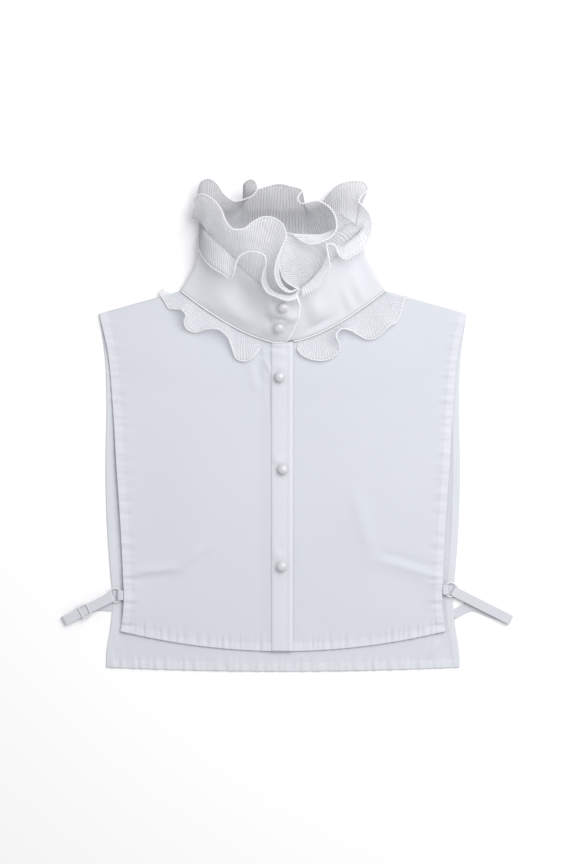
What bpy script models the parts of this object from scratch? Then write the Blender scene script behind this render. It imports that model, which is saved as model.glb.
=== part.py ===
"""Ruffled collar: a detachable false collar of white cotton, laid flat on its back.

Two fronts lie on a longer back. A high stand collar is buttoned up the centre, filled out as if it
still stood round a neck, and two ruffles of pleated organza stand on its rim. A smaller ruffle lies
in the neck seam, and an elastic strap joins front to back at each side.

X runs across to the wearer's left, Y up to the ruffles and Z up from the table. The origin is on the
flat underside of the back, in line with the buttons. Sizes and tables are in millimetres. A turn is
an angle round the neck in degrees: 0 at the centre front, 90 at the wearer's right, 180 at the back.
"""

from collections import namedtuple

import bmesh
import bpy
import numpy as np
from mathutils import Matrix, Vector

MM = 0.001

# Cloth
CLOTH = 1.0
COLLAR_CLOTH = 1.4
SEAM_GAP = 0.3
LAYER = CLOTH + SEAM_GAP

# Stand collar
NECK_HALF_WIDTH = 77.0
NECK_FLARE = 24.0
NECK_FLARE_BEND = 1.6
BASE_Y = 134.0
COLLAR_RISE = 56.0
FRONT_DIP = (53.0, 64.0)
FRONT_BEND = (1.42, 1.15)
BACK_DIP = (16.0, 12.0)
BACK_BEND = 1.5
FRONT_HEIGHT = (4.6, 35.0)
BACK_HEIGHT = (0.7, 1.3)
SIDE_SWELL = 1.6
SIDE_ROUNDING = (0.4, 1.0)
FRONT_SOFTNESS = 0.12
# Where the under ends of the collar and of its ruffles stop, as turns that count on past the back.
UNDER_END = 365.5
RUFFLE_UNDER_END = 347.0
# How far out the over end lies at the seam and at the rim, and the turns between which it comes down.
LAP_SHIFT = (1.8, 2.7)
LAP_FULL = 6.5
LAP_NONE = 14.3

# Panels
NECK_GAP = 1.1
BAND_GAP = 0.9
LAP_BLEND = 16.0
SHOULDER_CORNER = (183.5, 110.0)
FRONT_EDGE = 9.0
BAND_EDGE = -12.0
FRONT_HEM = -227.0
FRONT_HEM_CURVE = 20.0
BACK_HEM = -247.0
BACK_HEM_CURVE = 4.0
BACK_LIFT = 1.2
BACK_LIFT_HALF_WIDTH = 115.0
BACK_LIFT_DEPTH = 45.0
BACK_LIFT_CENTRE_Y = 118.0
# The lift holds full this many half widths out, then fades over this many more.
BACK_LIFT_FULL = 1.25
BACK_LIFT_FADE = 0.55
FRONT_LIFT_SPREAD = 1.25
RELIEF_TOP_Y = 95.0
RELIEF_FADE = 70.0

# Ruffles
RIM_GAP = 0.4
RUFFLE_SPACING = 0.65
UPPER_RUFFLE_HEIGHT = 60.0
LOWER_RUFFLE_HEIGHT = 38.0
NECK_RUFFLE_HEIGHT = 30.0
ROOT_STIFFNESS = 0.18
EDGE_STIFFNESS = 0.25
RIB_LEAN = 0.45
NECK_RUFFLE_ROOT = 1.8
BACK_RUFFLE_CLOTH = 0.9
BACK_RUFFLE_WAVES = 9
BACK_RUFFLE_WAVE = 2.5
BACK_RUFFLE_TURNS = (94.0, 266.0)

# Trimmings
PIPING_RADIUS = 0.9
PIPING_POINTS = 28
PIPING_OUT = 1.75
PIPING_UP = 2.5
RIGHT_PIPING = (-0.6, 88.0)
LEFT_PIPING = (-6.0, -88.0)
BUTTON_DIAMETER = 10.5
BUTTON_HEIGHT = 7.0
BUTTON_SIDES = 14
BUTTON_LEVELS = 7
BUTTON_TUCK = -52.0
BUTTON_WAIST = 0.44
SHANK_RADIUS = 1.7
SHANK_HEIGHT = 1.0
STRAP_WIDTH = 9.6
STRAP_TURN = 1.55
STRAP_IN_RING = 2.35
STRAP_TURN_POINTS = 9
STRAP_HOME_POINTS = 10
RING_RADIUS = 6.9
RING_WIRE = 0.75
RING_HEIGHT = 3.35
RING_SEGMENTS = (24, 6)
TAB_RING_SIDE = 5.0
TAB_UNDER = 12.0
TAB_OVER = 8.1
SLIDER_LENGTH = 10.0
SLIDER_BAR = 1.2

# Fineness of the cloth's grids and of the lines they are read from
CURVE_SAMPLES = 30
LINE_SAMPLES = 400
RISE_STEP = 0.01
TURN_STEP = 0.5
CREASE_ANGLE = 50.0
FRONT_ROWS = 22
BACK_ROWS = 12
NECK_COLUMNS = 8
SHOULDER_COLUMNS = 6
BAND_COLUMNS = 3
COLLAR_ROWS = 7
COLLAR_COLUMNS = 56
COLLAR_CROWDING = 0.6
NECK_CROWDING = 1.4
RUFFLE_ROWS = 6
UPPER_COLUMNS = 136
LOWER_COLUMNS = 108
NECK_RUFFLE_ROWS = 5
NECK_RUFFLE_COLUMNS = 40
BACK_RUFFLE_COLUMNS = 37
DART_Y = -146.0
DART_REACH = 22.0
DART_DENSITY = 1.6

# The ruffles' edges are given as seen from straight above this point at this height.
VIEW_CENTRE = np.array([5.0, -8.0])
VIEW_HEIGHT = 3000.0

OverButton = namedtuple("OverButton", "turn rise")
COLLAR_BUTTONS = (OverButton(-0.4, 0.83), OverButton(2.3, 0.36))
BandButton = namedtuple("BandButton", "x y")
BAND_BUTTONS = (BandButton(-3, 47), BandButton(0, -45), BandButton(-1, -142))

# A strap's ring, the outer fold of its loop, the bend of its way home, its seam at the back's edge
# and how far from the ring its free end reaches.
Strap = namedtuple("Strap", "ring_x ring_y fold_x fold_y bend_x bend_y seam_x seam_y return_end")
RIGHT_STRAP = Strap(-167.5, -171, -219, -197, -187, -182.5, -171.8, -182.5, 34.0)
LEFT_STRAP = Strap(167.5, -165.5, 227.5, -195.8, 189, -182.5, 173.0, -189.5, 22.0)

Edge = namedtuple("Edge", "y x")
FRONT_SIDE = (
    Edge(-207, 162.5),
    Edge(-190, 160.0),
    Edge(-174, 159.0),
    Edge(-149, 160.0),
    Edge(-92, 163.0),
    Edge(-37, 166.7),
    Edge(17, 170.0),
    Edge(74, 175.5),
    Edge(110, 183.5),
)
BACK_SIDE = (
    Edge(-243, 176.5),
    Edge(-228, 176.0),
    Edge(-201, 172.0),
    Edge(-174, 170.0),
    Edge(-146, 172.5),
    Edge(-92, 176.0),
    Edge(-37, 177.0),
    Edge(17, 176.0),
    Edge(64, 177.5),
    Edge(110, 183.5),
)

# Where the end of the collar's over lap lies: its turn at each share of the collar's height.
LapEnd = namedtuple("LapEnd", "rise turn")
OVER_END = (LapEnd(0.0, -0.6), LapEnd(0.29, -6.3), LapEnd(0.73, -10.8), LapEnd(1.0, -9.7))

# Soft relief of the fronts: a swell's centre, half lengths across and along, slant and height.
Swell = namedtuple("Swell", "x y across along slant height")
SWELLS = (
    Swell(-88, -60, 52, 78, 0, 1.2),
    Swell(88, -60, 52, 78, 0, 1.2),
    Swell(-170, -70, 22, 92, 0, 1.5),
    Swell(172, -70, 22, 92, 0, 1.5),
    Swell(-128, -146, 34, 7, 6, 1.1),
    Swell(-92, -134, 24, 6, 38, 1.0),
    Swell(-118, -186, 46, 22, 12, 0.8),
    Swell(126, -146, 34, 7, -16, 1.2),
    Swell(84, -112, 16, 34, 28, 0.9),
    Swell(112, -190, 48, 22, -10, 0.8),
    Swell(-158, -171, 18, 18, 0, 1.5),
    Swell(158, -166, 18, 18, 0, 1.5),
)

# A fold of a ruffle: the turn at which it is sewn to the rim, and a point of its free edge.
Fold = namedtuple("Fold", "turn x y z")
UPPER_FOLDS = (
    Fold(-10, 14, 135, 41),
    Fold(-7.5, 6, 132, 51),
    Fold(-5, -3, 137, 60),
    Fold(-2, -8, 148, 67),
    Fold(1, -7, 162, 71),
    Fold(4, -2, 175, 72),
    Fold(8, 3, 188, 72),
    Fold(12, 0, 199, 70),
    Fold(17, -9, 206, 68),
    Fold(22, -20, 207, 68),
    Fold(27, -30, 202, 70),
    Fold(32, -40, 195, 72),
    Fold(38, -50, 195, 72),
    Fold(44, -57, 203, 68),
    Fold(50, -62, 215, 62),
    Fold(56, -71, 225, 56),
    Fold(62, -82, 230, 48),
    Fold(67, -89, 225, 38),
    Fold(72, -91, 213, 30),
    Fold(77, -91, 207, 22),
    Fold(82, -91, 208, 15),
    Fold(88, -89, 217, 11),
    Fold(93, -86, 230, 12),
    Fold(97, -81, 243, 18),
    Fold(102, -73, 245, 22),
    Fold(106, -66, 240, 24),
    Fold(111, -59, 230, 26),
    Fold(117, -49, 223, 30),
    Fold(123, -38, 225, 34),
    Fold(129, -29, 230, 38),
    Fold(134, -25.5, 236.5, 40),
    Fold(138, -27, 241.5, 38),
    Fold(142, -32, 244.5, 34),
    Fold(146, -37.5, 242, 29),
    Fold(150, -39.5, 236.5, 22),
    Fold(154, -36, 232, 16),
    Fold(159, -27, 234, 13),
    Fold(166, -17, 237, 15),
    Fold(174, -5, 240, 20),
    Fold(187, 7, 238, 28),
    Fold(198, 19, 234, 34),
    Fold(205, 15, 227, 44),
    Fold(212, 17, 221, 52),
    Fold(222, 35, 223, 58),
    Fold(234, 47, 216, 62),
    Fold(248, 53, 205, 62),
    Fold(264, 53, 194, 62),
    Fold(280, 38, 182, 66),
    Fold(292, 27, 180, 67),
    Fold(304, 19, 183, 65),
    Fold(316, 9, 190, 62),
    Fold(326, 3, 190, 59),
    Fold(332, 2, 177, 58),
    Fold(337, 1, 164, 57),
    Fold(340.5, 2, 152, 55),
    Fold(343.5, 7, 142, 50),
    Fold(RUFFLE_UNDER_END, 16, 134, 42),
)
LOWER_FOLDS = (
    Fold(-9.5, 14, 126, 41.5),
    Fold(-6, 5, 123.5, 46),
    Fold(-2, -6, 127, 50),
    Fold(2, -16, 132, 50),
    Fold(6, -21, 141, 52),
    Fold(10, -20, 151, 56),
    Fold(14, -17, 161, 60),
    Fold(18, -19, 169, 62),
    Fold(23, -27, 172, 62),
    Fold(27, -36, 172, 60),
    Fold(32, -43, 168, 58),
    Fold(36, -47, 160, 56),
    Fold(40, -49, 151, 53),
    Fold(46, -53, 145, 47),
    Fold(54, -60, 150, 42),
    Fold(61, -70, 156, 36),
    Fold(69, -78, 164, 28),
    Fold(76, -83, 173, 19),
    Fold(83, -84.5, 182, 12),
    Fold(90, -84.5, 192, 7),
    Fold(96, -84, 202, 4),
    Fold(101, -82, 210, 3),
    Fold(107, -75, 214, 3),
    Fold(117, -62, 216, 7),
    Fold(127, -50, 213, 5),
    Fold(138, -38, 215, 4),
    Fold(149, -26, 214, 6),
    Fold(160, -14, 215, 4),
    Fold(171, -2, 213, 6),
    Fold(182, 10, 215, 4),
    Fold(193, 22, 214, 6),
    Fold(205, 34, 218, 6),
    Fold(215, 42, 226, 10),
    Fold(223, 48, 233, 16),
    Fold(230, 57, 240, 22),
    Fold(236, 69, 243, 24),
    Fold(241, 82, 241, 24),
    Fold(245, 85, 235, 25),
    Fold(249, 79, 229, 28),
    Fold(253, 76, 222, 32),
    Fold(258, 81, 217, 35),
    Fold(264, 87, 209, 36),
    Fold(271, 89, 198, 36),
    Fold(279, 86, 186, 36),
    Fold(287, 80, 176, 38),
    Fold(295, 71, 169, 42),
    Fold(302, 62, 165, 46),
    Fold(308, 56, 169, 51),
    Fold(314, 51, 179, 56),
    Fold(320, 44, 180, 60),
    Fold(327, 45, 170, 60),
    Fold(333, 47, 158, 58),
    Fold(337, 44, 148, 54),
    Fold(340, 37, 138, 48),
    Fold(343.5, 28, 133, 43),
    Fold(RUFFLE_UNDER_END, 19, 128, 39),
)
NECK_FOLDS_RIGHT = (
    Fold(15, -22, 77, 6),
    Fold(16, -25, 73, 7),
    Fold(18, -29, 68, 9),
    Fold(21, -37, 63, 8),
    Fold(25, -46, 65, 7),
    Fold(28, -51, 76, 10),
    Fold(31, -56, 88, 14),
    Fold(35, -65, 95, 17),
    Fold(40, -76, 95, 14),
    Fold(46, -88, 92, 8),
    Fold(51, -96, 95, 9),
    Fold(56, -99, 103, 14),
    Fold(60, -97, 109, 18),
    Fold(64, -101, 114, 16),
    Fold(68, -107, 115, 9),
    Fold(73, -114, 116, 6),
    Fold(79, -119, 124, 6),
    Fold(85, -123, 131, 5),
    Fold(90, -119, 136, 5),
)
NECK_FOLDS_LEFT = (
    Fold(-8, 14, 76, 6),
    Fold(-12, 17, 71, 8),
    Fold(-15, 23, 67, 8),
    Fold(-18, 32, 64, 8),
    Fold(-21, 42, 64, 8),
    Fold(-24, 50, 67, 8),
    Fold(-27, 56, 73, 10),
    Fold(-30, 56, 81, 14),
    Fold(-33, 53, 89, 18),
    Fold(-36, 58, 95, 18),
    Fold(-39, 67, 94, 14),
    Fold(-43, 76, 89, 9),
    Fold(-47, 84, 85, 8),
    Fold(-51, 92, 86, 8),
    Fold(-56, 99, 91, 10),
    Fold(-61, 106, 98, 12),
    Fold(-66, 113, 102, 10),
    Fold(-71, 117, 109, 8),
    Fold(-76, 119, 116, 7),
    Fold(-81, 121, 123, 6),
    Fold(-86, 126, 128, 5),
    Fold(-90, 127, 130, 5),
)


def ease(x):
    """0 up to 0, 1 from 1 on, and a smooth rise between."""
    x = np.clip(x, 0.0, 1.0)
    return x * x * (3.0 - 2.0 * x)


def mix(ends, share):
    return ends[0] + (ends[1] - ends[0]) * share


def unit(vectors):
    return vectors / np.linalg.norm(vectors, axis=-1, keepdims=True)


def points_of(x, y, z):
    return np.stack(np.broadcast_arrays(x, y, z), axis=-1).astype(float)


def smooth_path(rows, count):
    """Points spaced evenly along a smooth curve through the rows, whose last three columns are x y z."""
    rows = np.array(rows, float)
    steps = np.linalg.norm(np.diff(rows[:, -3:], axis=0), axis=1)
    knots = np.concatenate([[0.0], np.cumsum(steps)])
    slopes = np.gradient(rows, knots, axis=0)
    fine = np.linspace(0.0, knots[-1], CURVE_SAMPLES * len(rows))
    i = np.clip(np.searchsorted(knots, fine, side="right") - 1, 0, len(rows) - 2)
    span = (knots[i + 1] - knots[i])[:, None]
    t = (fine - knots[i])[:, None] / span
    curve = (
        rows[i] * (1 + 2 * t) * (1 - t) ** 2
        + rows[i + 1] * (3 - 2 * t) * t**2
        + slopes[i] * span * t * (1 - t) ** 2
        - slopes[i + 1] * span * t**2 * (1 - t)
    )
    lengths = np.linalg.norm(np.diff(curve[:, -3:], axis=0), axis=1)
    along = np.concatenate([[0.0], np.cumsum(lengths)])
    even = np.linspace(0.0, along[-1], count)
    return np.stack([np.interp(even, along, column) for column in curve.T], axis=1)


def grid_normals(grid):
    across = np.gradient(grid, axis=1)
    up = np.gradient(grid, axis=0)
    return unit(np.cross(across, up))


def finish(name, colour, roughness, metallic=0.0):
    """A plain material in the piece's colour."""
    material = bpy.data.materials.new(name)
    material.use_nodes = True
    shader = material.node_tree.nodes["Principled BSDF"]
    shader.inputs["Base Color"].default_value = (*colour, 1.0)
    shader.inputs["Roughness"].default_value = roughness
    shader.inputs["Metallic"].default_value = metallic
    return material


def add_object(name, mesh, material):
    mesh.materials.append(material)
    piece = bpy.data.objects.new(name, mesh)
    bpy.context.scene.collection.objects.link(piece)
    return piece


def add_wall(name, inner, outer, material):
    """The closed solid between two grids of points, with its four edges joined."""
    rows, columns = inner.shape[:2]
    count = rows * columns
    corner = np.arange(count).reshape(rows, columns)
    faces = []
    for row in range(rows - 1):
        for column in range(columns - 1):
            loop = [corner[row, column], corner[row, column + 1]]
            loop += [corner[row + 1, column + 1], corner[row + 1, column]]
            faces.append([int(index) for index in reversed(loop)])
            faces.append([int(index) + count for index in loop])
    border = [*corner[0, :-1], *corner[:-1, -1], *corner[-1, :0:-1], *corner[:0:-1, 0]]
    for start, end in zip(border, border[1:] + border[:1]):
        faces.append([int(start), int(end), int(end) + count, int(start) + count])
    points = np.concatenate([inner.reshape(-1, 3), outer.reshape(-1, 3)]) * MM
    mesh = bpy.data.meshes.new(name)
    mesh.from_pydata(points.tolist(), [], faces)
    turn_outwards(mesh)
    return add_object(name, mesh, material)


def turn_outwards(mesh):
    """Turns every face of a closed mesh outwards."""
    shape = bmesh.new()
    shape.from_mesh(mesh)
    bmesh.ops.recalc_face_normals(shape, faces=shape.faces)
    if shape.calc_volume(signed=True) < 0:
        bmesh.ops.reverse_faces(shape, faces=shape.faces)
    shape.to_mesh(mesh)
    shape.free()
    mesh.shade_smooth()
    mesh.set_sharp_from_angle(angle=np.radians(CREASE_ANGLE))


def add_sheet(name, middle, thickness, material):
    """Cloth of one thickness about a grid of middle points."""
    shift = grid_normals(middle) * thickness / 2
    return add_wall(name, middle - shift, middle + shift, material)


def collar_middle(turn, rise):
    """A point in the middle of the collar's cloth, rise being 0 at the neck seam and 1 at the rim."""
    turn, rise = np.broadcast_arrays(np.asarray(turn, float), np.asarray(rise, float))
    sine = np.sin(np.radians(turn))
    cosine = np.cos(np.radians(turn))
    half_width = NECK_HALF_WIDTH + NECK_FLARE * np.clip(1 - rise, 0, None) ** NECK_FLARE_BEND
    soft = np.sqrt(sine**2 + FRONT_SOFTNESS**2) - FRONT_SOFTNESS
    soft = soft / (np.sqrt(1 + FRONT_SOFTNESS**2) - FRONT_SOFTNESS)
    front = mix(FRONT_DIP, rise) * (1 - soft ** mix(FRONT_BEND, rise))
    back = mix(BACK_DIP, rise) * (1 - np.abs(sine) ** BACK_BEND)
    y = BASE_Y + COLLAR_RISE * rise - np.where(cosine > 0, front, back)
    top = mix(FRONT_HEIGHT, rise) + SIDE_SWELL * sine**2 * (1 - rise)
    bottom = mix(BACK_HEIGHT, rise)
    rounding = mix(SIDE_ROUNDING, np.clip(rise, 0, 1))
    weight = 0.5 * (1 + np.sign(cosine) * np.abs(cosine) ** rounding)
    return points_of(-half_width * sine, y, bottom + (top - bottom) * weight)


def collar_frame(turn, rise):
    """The collar's middle point with its directions up the collar and out of the neck."""
    turn = np.asarray(turn, float)
    point = collar_middle(turn, rise)
    up = unit(collar_middle(turn, rise + RISE_STEP) - collar_middle(turn, rise - RISE_STEP))
    along = collar_middle(turn + TURN_STEP, rise) - collar_middle(turn - TURN_STEP, rise)
    return point, up, unit(np.cross(up, along))


def lap(turn, rise):
    """How far out the over end of the collar lies, to clear the under end."""
    return mix(LAP_SHIFT, rise) * (1 - ease((turn - LAP_FULL) / (LAP_NONE - LAP_FULL)))


def collar_surface(turn, rise, out=0.0):
    """A point of the collar, moved out of its middle and over the lap."""
    point, _, outwards = collar_frame(turn, rise)
    return point + outwards * (out + lap(turn, rise))[..., None]


def neck_line(turn, gap, over=0.0):
    """A plan point below the collar's neck seam."""
    point, up, _ = collar_frame(turn, 0.0)
    down = -unit(up[..., :2])
    return point[..., :2] + down * (gap + over + 0.0 * turn)[..., None]


def back_lift(x, y, spread=1.0):
    """The back rises near the neck to make room for the ruffle under it."""
    across = x / BACK_LIFT_HALF_WIDTH
    along = (BACK_LIFT_CENTRE_Y - y) / BACK_LIFT_DEPTH
    far = np.sqrt(across**2 + along**2)
    return BACK_LIFT * (1 - ease((far / spread - BACK_LIFT_FULL) / BACK_LIFT_FADE))


def relief(x, y):
    """Soft swells and folds of the fronts, which die out at the shoulder and near the neck."""
    total = np.zeros(np.broadcast(x, y).shape)
    for swell in SWELLS:
        cosine = np.cos(np.radians(swell.slant))
        sine = np.sin(np.radians(swell.slant))
        across = ((x - swell.x) * cosine + (y - swell.y) * sine) / swell.across
        along = ((y - swell.y) * cosine - (x - swell.x) * sine) / swell.along
        total = total + swell.height * np.exp(-(across**2) - along**2)
    return total * ease((RELIEF_TOP_Y - y) / RELIEF_FADE)


def lapped(x):
    """1 where the right front laps over the left, and 0 where it has come down beside it."""
    return 1 - ease((-FRONT_EDGE - x) / LAP_BLEND)


def front_bottom(x, y, over):
    """Underside of a front: over is 1 on the front that laps over the other."""
    low = LAYER + back_lift(x, y, FRONT_LIFT_SPREAD) + relief(x, y)
    return low + over * LAYER * lapped(x)


def front_top(x, y, over=0.0):
    return front_bottom(x, y, over) + CLOTH


def patch(bottom, top, left, right, share):
    """Fills the plan area between four border lines, with a row at each share of the way up."""
    u = np.abs(bottom[:, 0] - bottom[0, 0]) / abs(bottom[-1, 0] - bottom[0, 0])
    u = u[None, :, None]
    v = share[:, None, None]
    across = (1 - v) * bottom[None] + v * top[None]
    along = (1 - u) * left[:, None] + u * right[:, None]
    low_corners = (1 - u) * bottom[0] + u * bottom[-1]
    high_corners = (1 - u) * top[0] + u * top[-1]
    return across + along - (1 - v) * low_corners - v * high_corners


def side_line(rows, side, ys):
    """Plan points of a panel's side edge at the heights ys."""
    table = np.array(rows, float)
    spline = smooth_path(np.insert(table[:, ::-1], 2, 0.0, axis=1), LINE_SAMPLES)
    return np.stack([side * np.interp(ys, spline[:, 1], spline[:, 0]), ys], axis=1)


def row_heights(low, high, count):
    """Row heights from hem to shoulder, closest together where the darts lie."""
    ys = np.linspace(low, high, LINE_SAMPLES)
    density = 1 + DART_DENSITY * np.exp(-(((ys - DART_Y) / DART_REACH) ** 2))
    share = np.concatenate([[0.0], np.cumsum(density)[:-1]])
    return np.interp(np.linspace(0, share[-1], count), share, ys)


def shares_of(ys):
    return (ys - ys[0]) / (ys[-1] - ys[0])


def front_plan(side, edge_x):
    """Plan grid of a front, from its centre edge to its side and from its hem to neck and shoulder."""
    ys = row_heights(FRONT_SIDE[0].y, SHOULDER_CORNER[1], FRONT_ROWS)
    first_turn = -np.degrees(np.arcsin(edge_x / (NECK_HALF_WIDTH + NECK_FLARE)))
    band_turn = -np.degrees(np.arcsin(side * -BAND_EDGE / (NECK_HALF_WIDTH + NECK_FLARE)))
    band_turns = np.linspace(first_turn, band_turn, BAND_COLUMNS)
    neck_share = np.linspace(0, 1, NECK_COLUMNS) ** NECK_CROWDING
    neck_turns = band_turn + (-90.0 * side - band_turn) * neck_share
    turns = np.concatenate([band_turns, neck_turns[1:]])
    over = (side < 0) * BAND_GAP * lapped(neck_line(turns, 0.0)[:, 0])
    neck = neck_line(turns, NECK_GAP, over)
    corner = np.array([side * SHOULDER_CORNER[0], SHOULDER_CORNER[1]])
    top = np.concatenate([neck, np.linspace(neck[-1], corner, SHOULDER_COLUMNS)[1:]])
    band_x = np.linspace(edge_x, side * -BAND_EDGE, BAND_COLUMNS)
    rest = len(top) - BAND_COLUMNS + 1
    hem_x = np.concatenate([band_x, np.linspace(band_x[-1], side * FRONT_SIDE[0].x, rest)[1:]])
    hem = FRONT_HEM + FRONT_HEM_CURVE * (hem_x / FRONT_SIDE[0].x) ** 2
    bottom = np.stack([hem_x, hem], axis=1)
    share = shares_of(ys)
    left = bottom[0] + (top[0] - bottom[0]) * share[:, None]
    return patch(bottom, top, left, side_line(FRONT_SIDE, side, ys), share)


def back_plan():
    """Plan grid of the back, from its right side to its left and from its hem to neck and shoulders."""
    ys = np.linspace(BACK_SIDE[0].y, SHOULDER_CORNER[1], BACK_ROWS)
    turns = np.linspace(90, 270, 2 * NECK_COLUMNS)
    neck = neck_line(turns, NECK_GAP)
    right = np.array([-SHOULDER_CORNER[0], SHOULDER_CORNER[1]])
    left = np.array([SHOULDER_CORNER[0], SHOULDER_CORNER[1]])
    right_shoulder = np.linspace(right, neck[0], SHOULDER_COLUMNS)[:-1]
    left_shoulder = np.linspace(neck[-1], left, SHOULDER_COLUMNS)[1:]
    top = np.concatenate([right_shoulder, neck, left_shoulder])
    hem_x = np.linspace(-BACK_SIDE[0].x, BACK_SIDE[0].x, len(top))
    hem = BACK_HEM + BACK_HEM_CURVE * (hem_x / BACK_SIDE[0].x) ** 2
    bottom = np.stack([hem_x, hem], axis=1)
    sides = [side_line(BACK_SIDE, side, ys) for side in (-1, 1)]
    return patch(bottom, top, sides[0], sides[1], shares_of(ys))


def raised(plan, height):
    """Plan points with their heights added."""
    return np.concatenate([plan, np.asarray(height)[..., None]], axis=-1)


def add_panel(name, plan, bottom, material):
    return add_wall(name, raised(plan, bottom), raised(plan, bottom + CLOTH), material)


def add_panels(material):
    plan = back_plan()
    add_panel("back_panel", plan, back_lift(plan[..., 0], plan[..., 1]), material)
    left = front_plan(1, -FRONT_EDGE)
    add_panel("front_left", left, front_bottom(left[..., 0], left[..., 1], 0), material)
    right = front_plan(-1, FRONT_EDGE)
    bottom = front_bottom(right[..., 0], right[..., 1], 1)
    add_panel("front_right", right, bottom, material)
    band = right[:, :BAND_COLUMNS]
    add_panel("button_band", band, bottom[:, :BAND_COLUMNS] + LAYER, material)


def add_collar(material):
    rises = np.linspace(0, 1, COLLAR_ROWS)[:, None]
    ends = np.array(OVER_END)
    first = np.interp(rises, ends[:, 0], ends[:, 1])
    share = np.linspace(0, 1, COLLAR_COLUMNS)
    share = share - COLLAR_CROWDING * np.sin(2 * np.pi * share) / (2 * np.pi)
    turns = first + (UNDER_END - first) * share[None]
    middle = collar_surface(turns, rises + 0 * turns)
    add_sheet("collar_stand", middle, COLLAR_CLOTH, material)


def as_seen(folds):
    """The folds with their edges drawn in to allow for a view from above at a finite height."""
    rows = np.array(folds, float)
    nearer = 1 - rows[:, 3:] / VIEW_HEIGHT
    rows[:, 1:3] = VIEW_CENTRE + (rows[:, 1:3] - VIEW_CENTRE) * nearer
    return rows


def ribs(roots, directions, edges, height, rows):
    """Grid of points on curved ribs from the sewn line to the free edge of a ruffle."""
    reach = np.linalg.norm(edges - roots, axis=1)
    bulge = np.minimum(ROOT_STIFFNESS * height + EDGE_STIFFNESS * reach, reach / 2)[:, None]
    leaning = unit(directions + RIB_LEAN * unit(edges - roots))
    middles = roots + leaning * bulge
    t = np.linspace(0, 1, rows)[:, None, None]
    return (1 - t) ** 2 * roots + 2 * t * (1 - t) * middles + t**2 * edges


def add_rim_ruffle(name, folds, out, height, columns, material):
    """A ruffle on the collar's rim."""
    path = smooth_path(as_seen(folds), columns)
    turns = path[:, 0]
    _, up, _ = collar_frame(turns, 1.0)
    roots = collar_surface(turns, np.ones(columns), out) + up * RIM_GAP
    grid = ribs(roots, up, path[:, 1:], height, RUFFLE_ROWS)
    grid[..., 2] = np.maximum(grid[..., 2], CLOTH / 2)
    add_sheet(name, grid, CLOTH, material)


def add_neck_ruffle(name, folds, over, material):
    """A ruffle in the neck seam, lying on a front."""
    path = smooth_path(as_seen(folds), NECK_RUFFLE_COLUMNS)
    turns = path[:, 0]
    plan = neck_line(turns, NECK_RUFFLE_ROOT)
    outwards = plan - neck_line(turns, 0.0)
    directions = raised(unit(outwards), 0 * turns)
    roots = raised(plan, front_top(plan[:, 0], plan[:, 1], over) + LAYER - CLOTH / 2)
    grid = ribs(roots, directions, path[:, 1:], NECK_RUFFLE_HEIGHT, NECK_RUFFLE_ROWS)
    lowest = front_top(grid[..., 0], grid[..., 1], over) + LAYER - CLOTH / 2
    grid[..., 2] = np.maximum(grid[..., 2], lowest)
    add_sheet(name, grid, CLOTH, material)


def add_back_neck_ruffle(material):
    """The stretch of the neck ruffle that is pressed flat under the back."""
    turns = np.linspace(*BACK_RUFFLE_TURNS, BACK_RUFFLE_COLUMNS)
    waves = BACK_RUFFLE_WAVE * np.sin(np.radians(turns * BACK_RUFFLE_WAVES * 2))
    rows = [neck_line(turns, NECK_GAP)]
    for share in (0.5, 1.0):
        low = rows[0] + np.stack([0 * turns, -share * (NECK_RUFFLE_HEIGHT + waves)], axis=1)
        rows.append(low)
    plan = np.stack(rows[::-1])
    zero = np.zeros(plan.shape[:2])
    add_wall("neck_ruffle_back", raised(plan, zero), raised(plan, zero + BACK_RUFFLE_CLOTH), material)


def add_piping(name, turns, material):
    """A piping cord along the neck seam."""
    over = turns > RIGHT_PIPING[0] - 1
    plan = neck_line(turns, PIPING_OUT, over * BAND_GAP * lapped(neck_line(turns, 0.0)[:, 0]))
    heights = front_top(plan[:, 0], plan[:, 1], over) + PIPING_UP
    curve = bpy.data.curves.new(name, "CURVE")
    curve.dimensions = "3D"
    curve.bevel_depth = PIPING_RADIUS * MM
    curve.bevel_resolution = 1
    curve.use_fill_caps = True
    spline = curve.splines.new("POLY")
    spline.points.add(len(turns) - 1)
    for point, place in zip(spline.points, raised(plan, heights) * MM):
        point.co = (*place, 1.0)
    curve.materials.append(material)
    piece = bpy.data.objects.new(name, curve)
    bpy.context.scene.collection.objects.link(piece)


def button_mesh():
    """A pearl button turned about its shank."""
    dome = []
    waist = SHANK_HEIGHT + BUTTON_HEIGHT * BUTTON_WAIST
    for angle in np.radians(np.linspace(BUTTON_TUCK, 90, BUTTON_LEVELS)):
        radius = BUTTON_DIAMETER / 2 * np.cos(angle)
        dome.append((radius, waist + BUTTON_HEIGHT * (1 - BUTTON_WAIST) * np.sin(angle)))
    profile = [(0.0, 0.0), (SHANK_RADIUS, 0.0), (SHANK_RADIUS, SHANK_HEIGHT)] + dome[:-1]
    profile.append((0.0, dome[-1][1]))
    shape = bmesh.new()
    chain = [shape.verts.new((radius * MM, 0.0, height * MM)) for radius, height in profile]
    edges = [shape.edges.new(pair) for pair in zip(chain, chain[1:])]
    bmesh.ops.spin(
        shape,
        geom=chain + edges,
        axis=(0, 0, 1),
        cent=(0, 0, 0),
        steps=BUTTON_SIDES,
        angle=2 * np.pi,
    )
    bmesh.ops.remove_doubles(shape, verts=shape.verts, dist=1e-6)
    mesh = bpy.data.meshes.new("button")
    shape.to_mesh(mesh)
    shape.free()
    turn_outwards(mesh)
    return mesh


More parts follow.
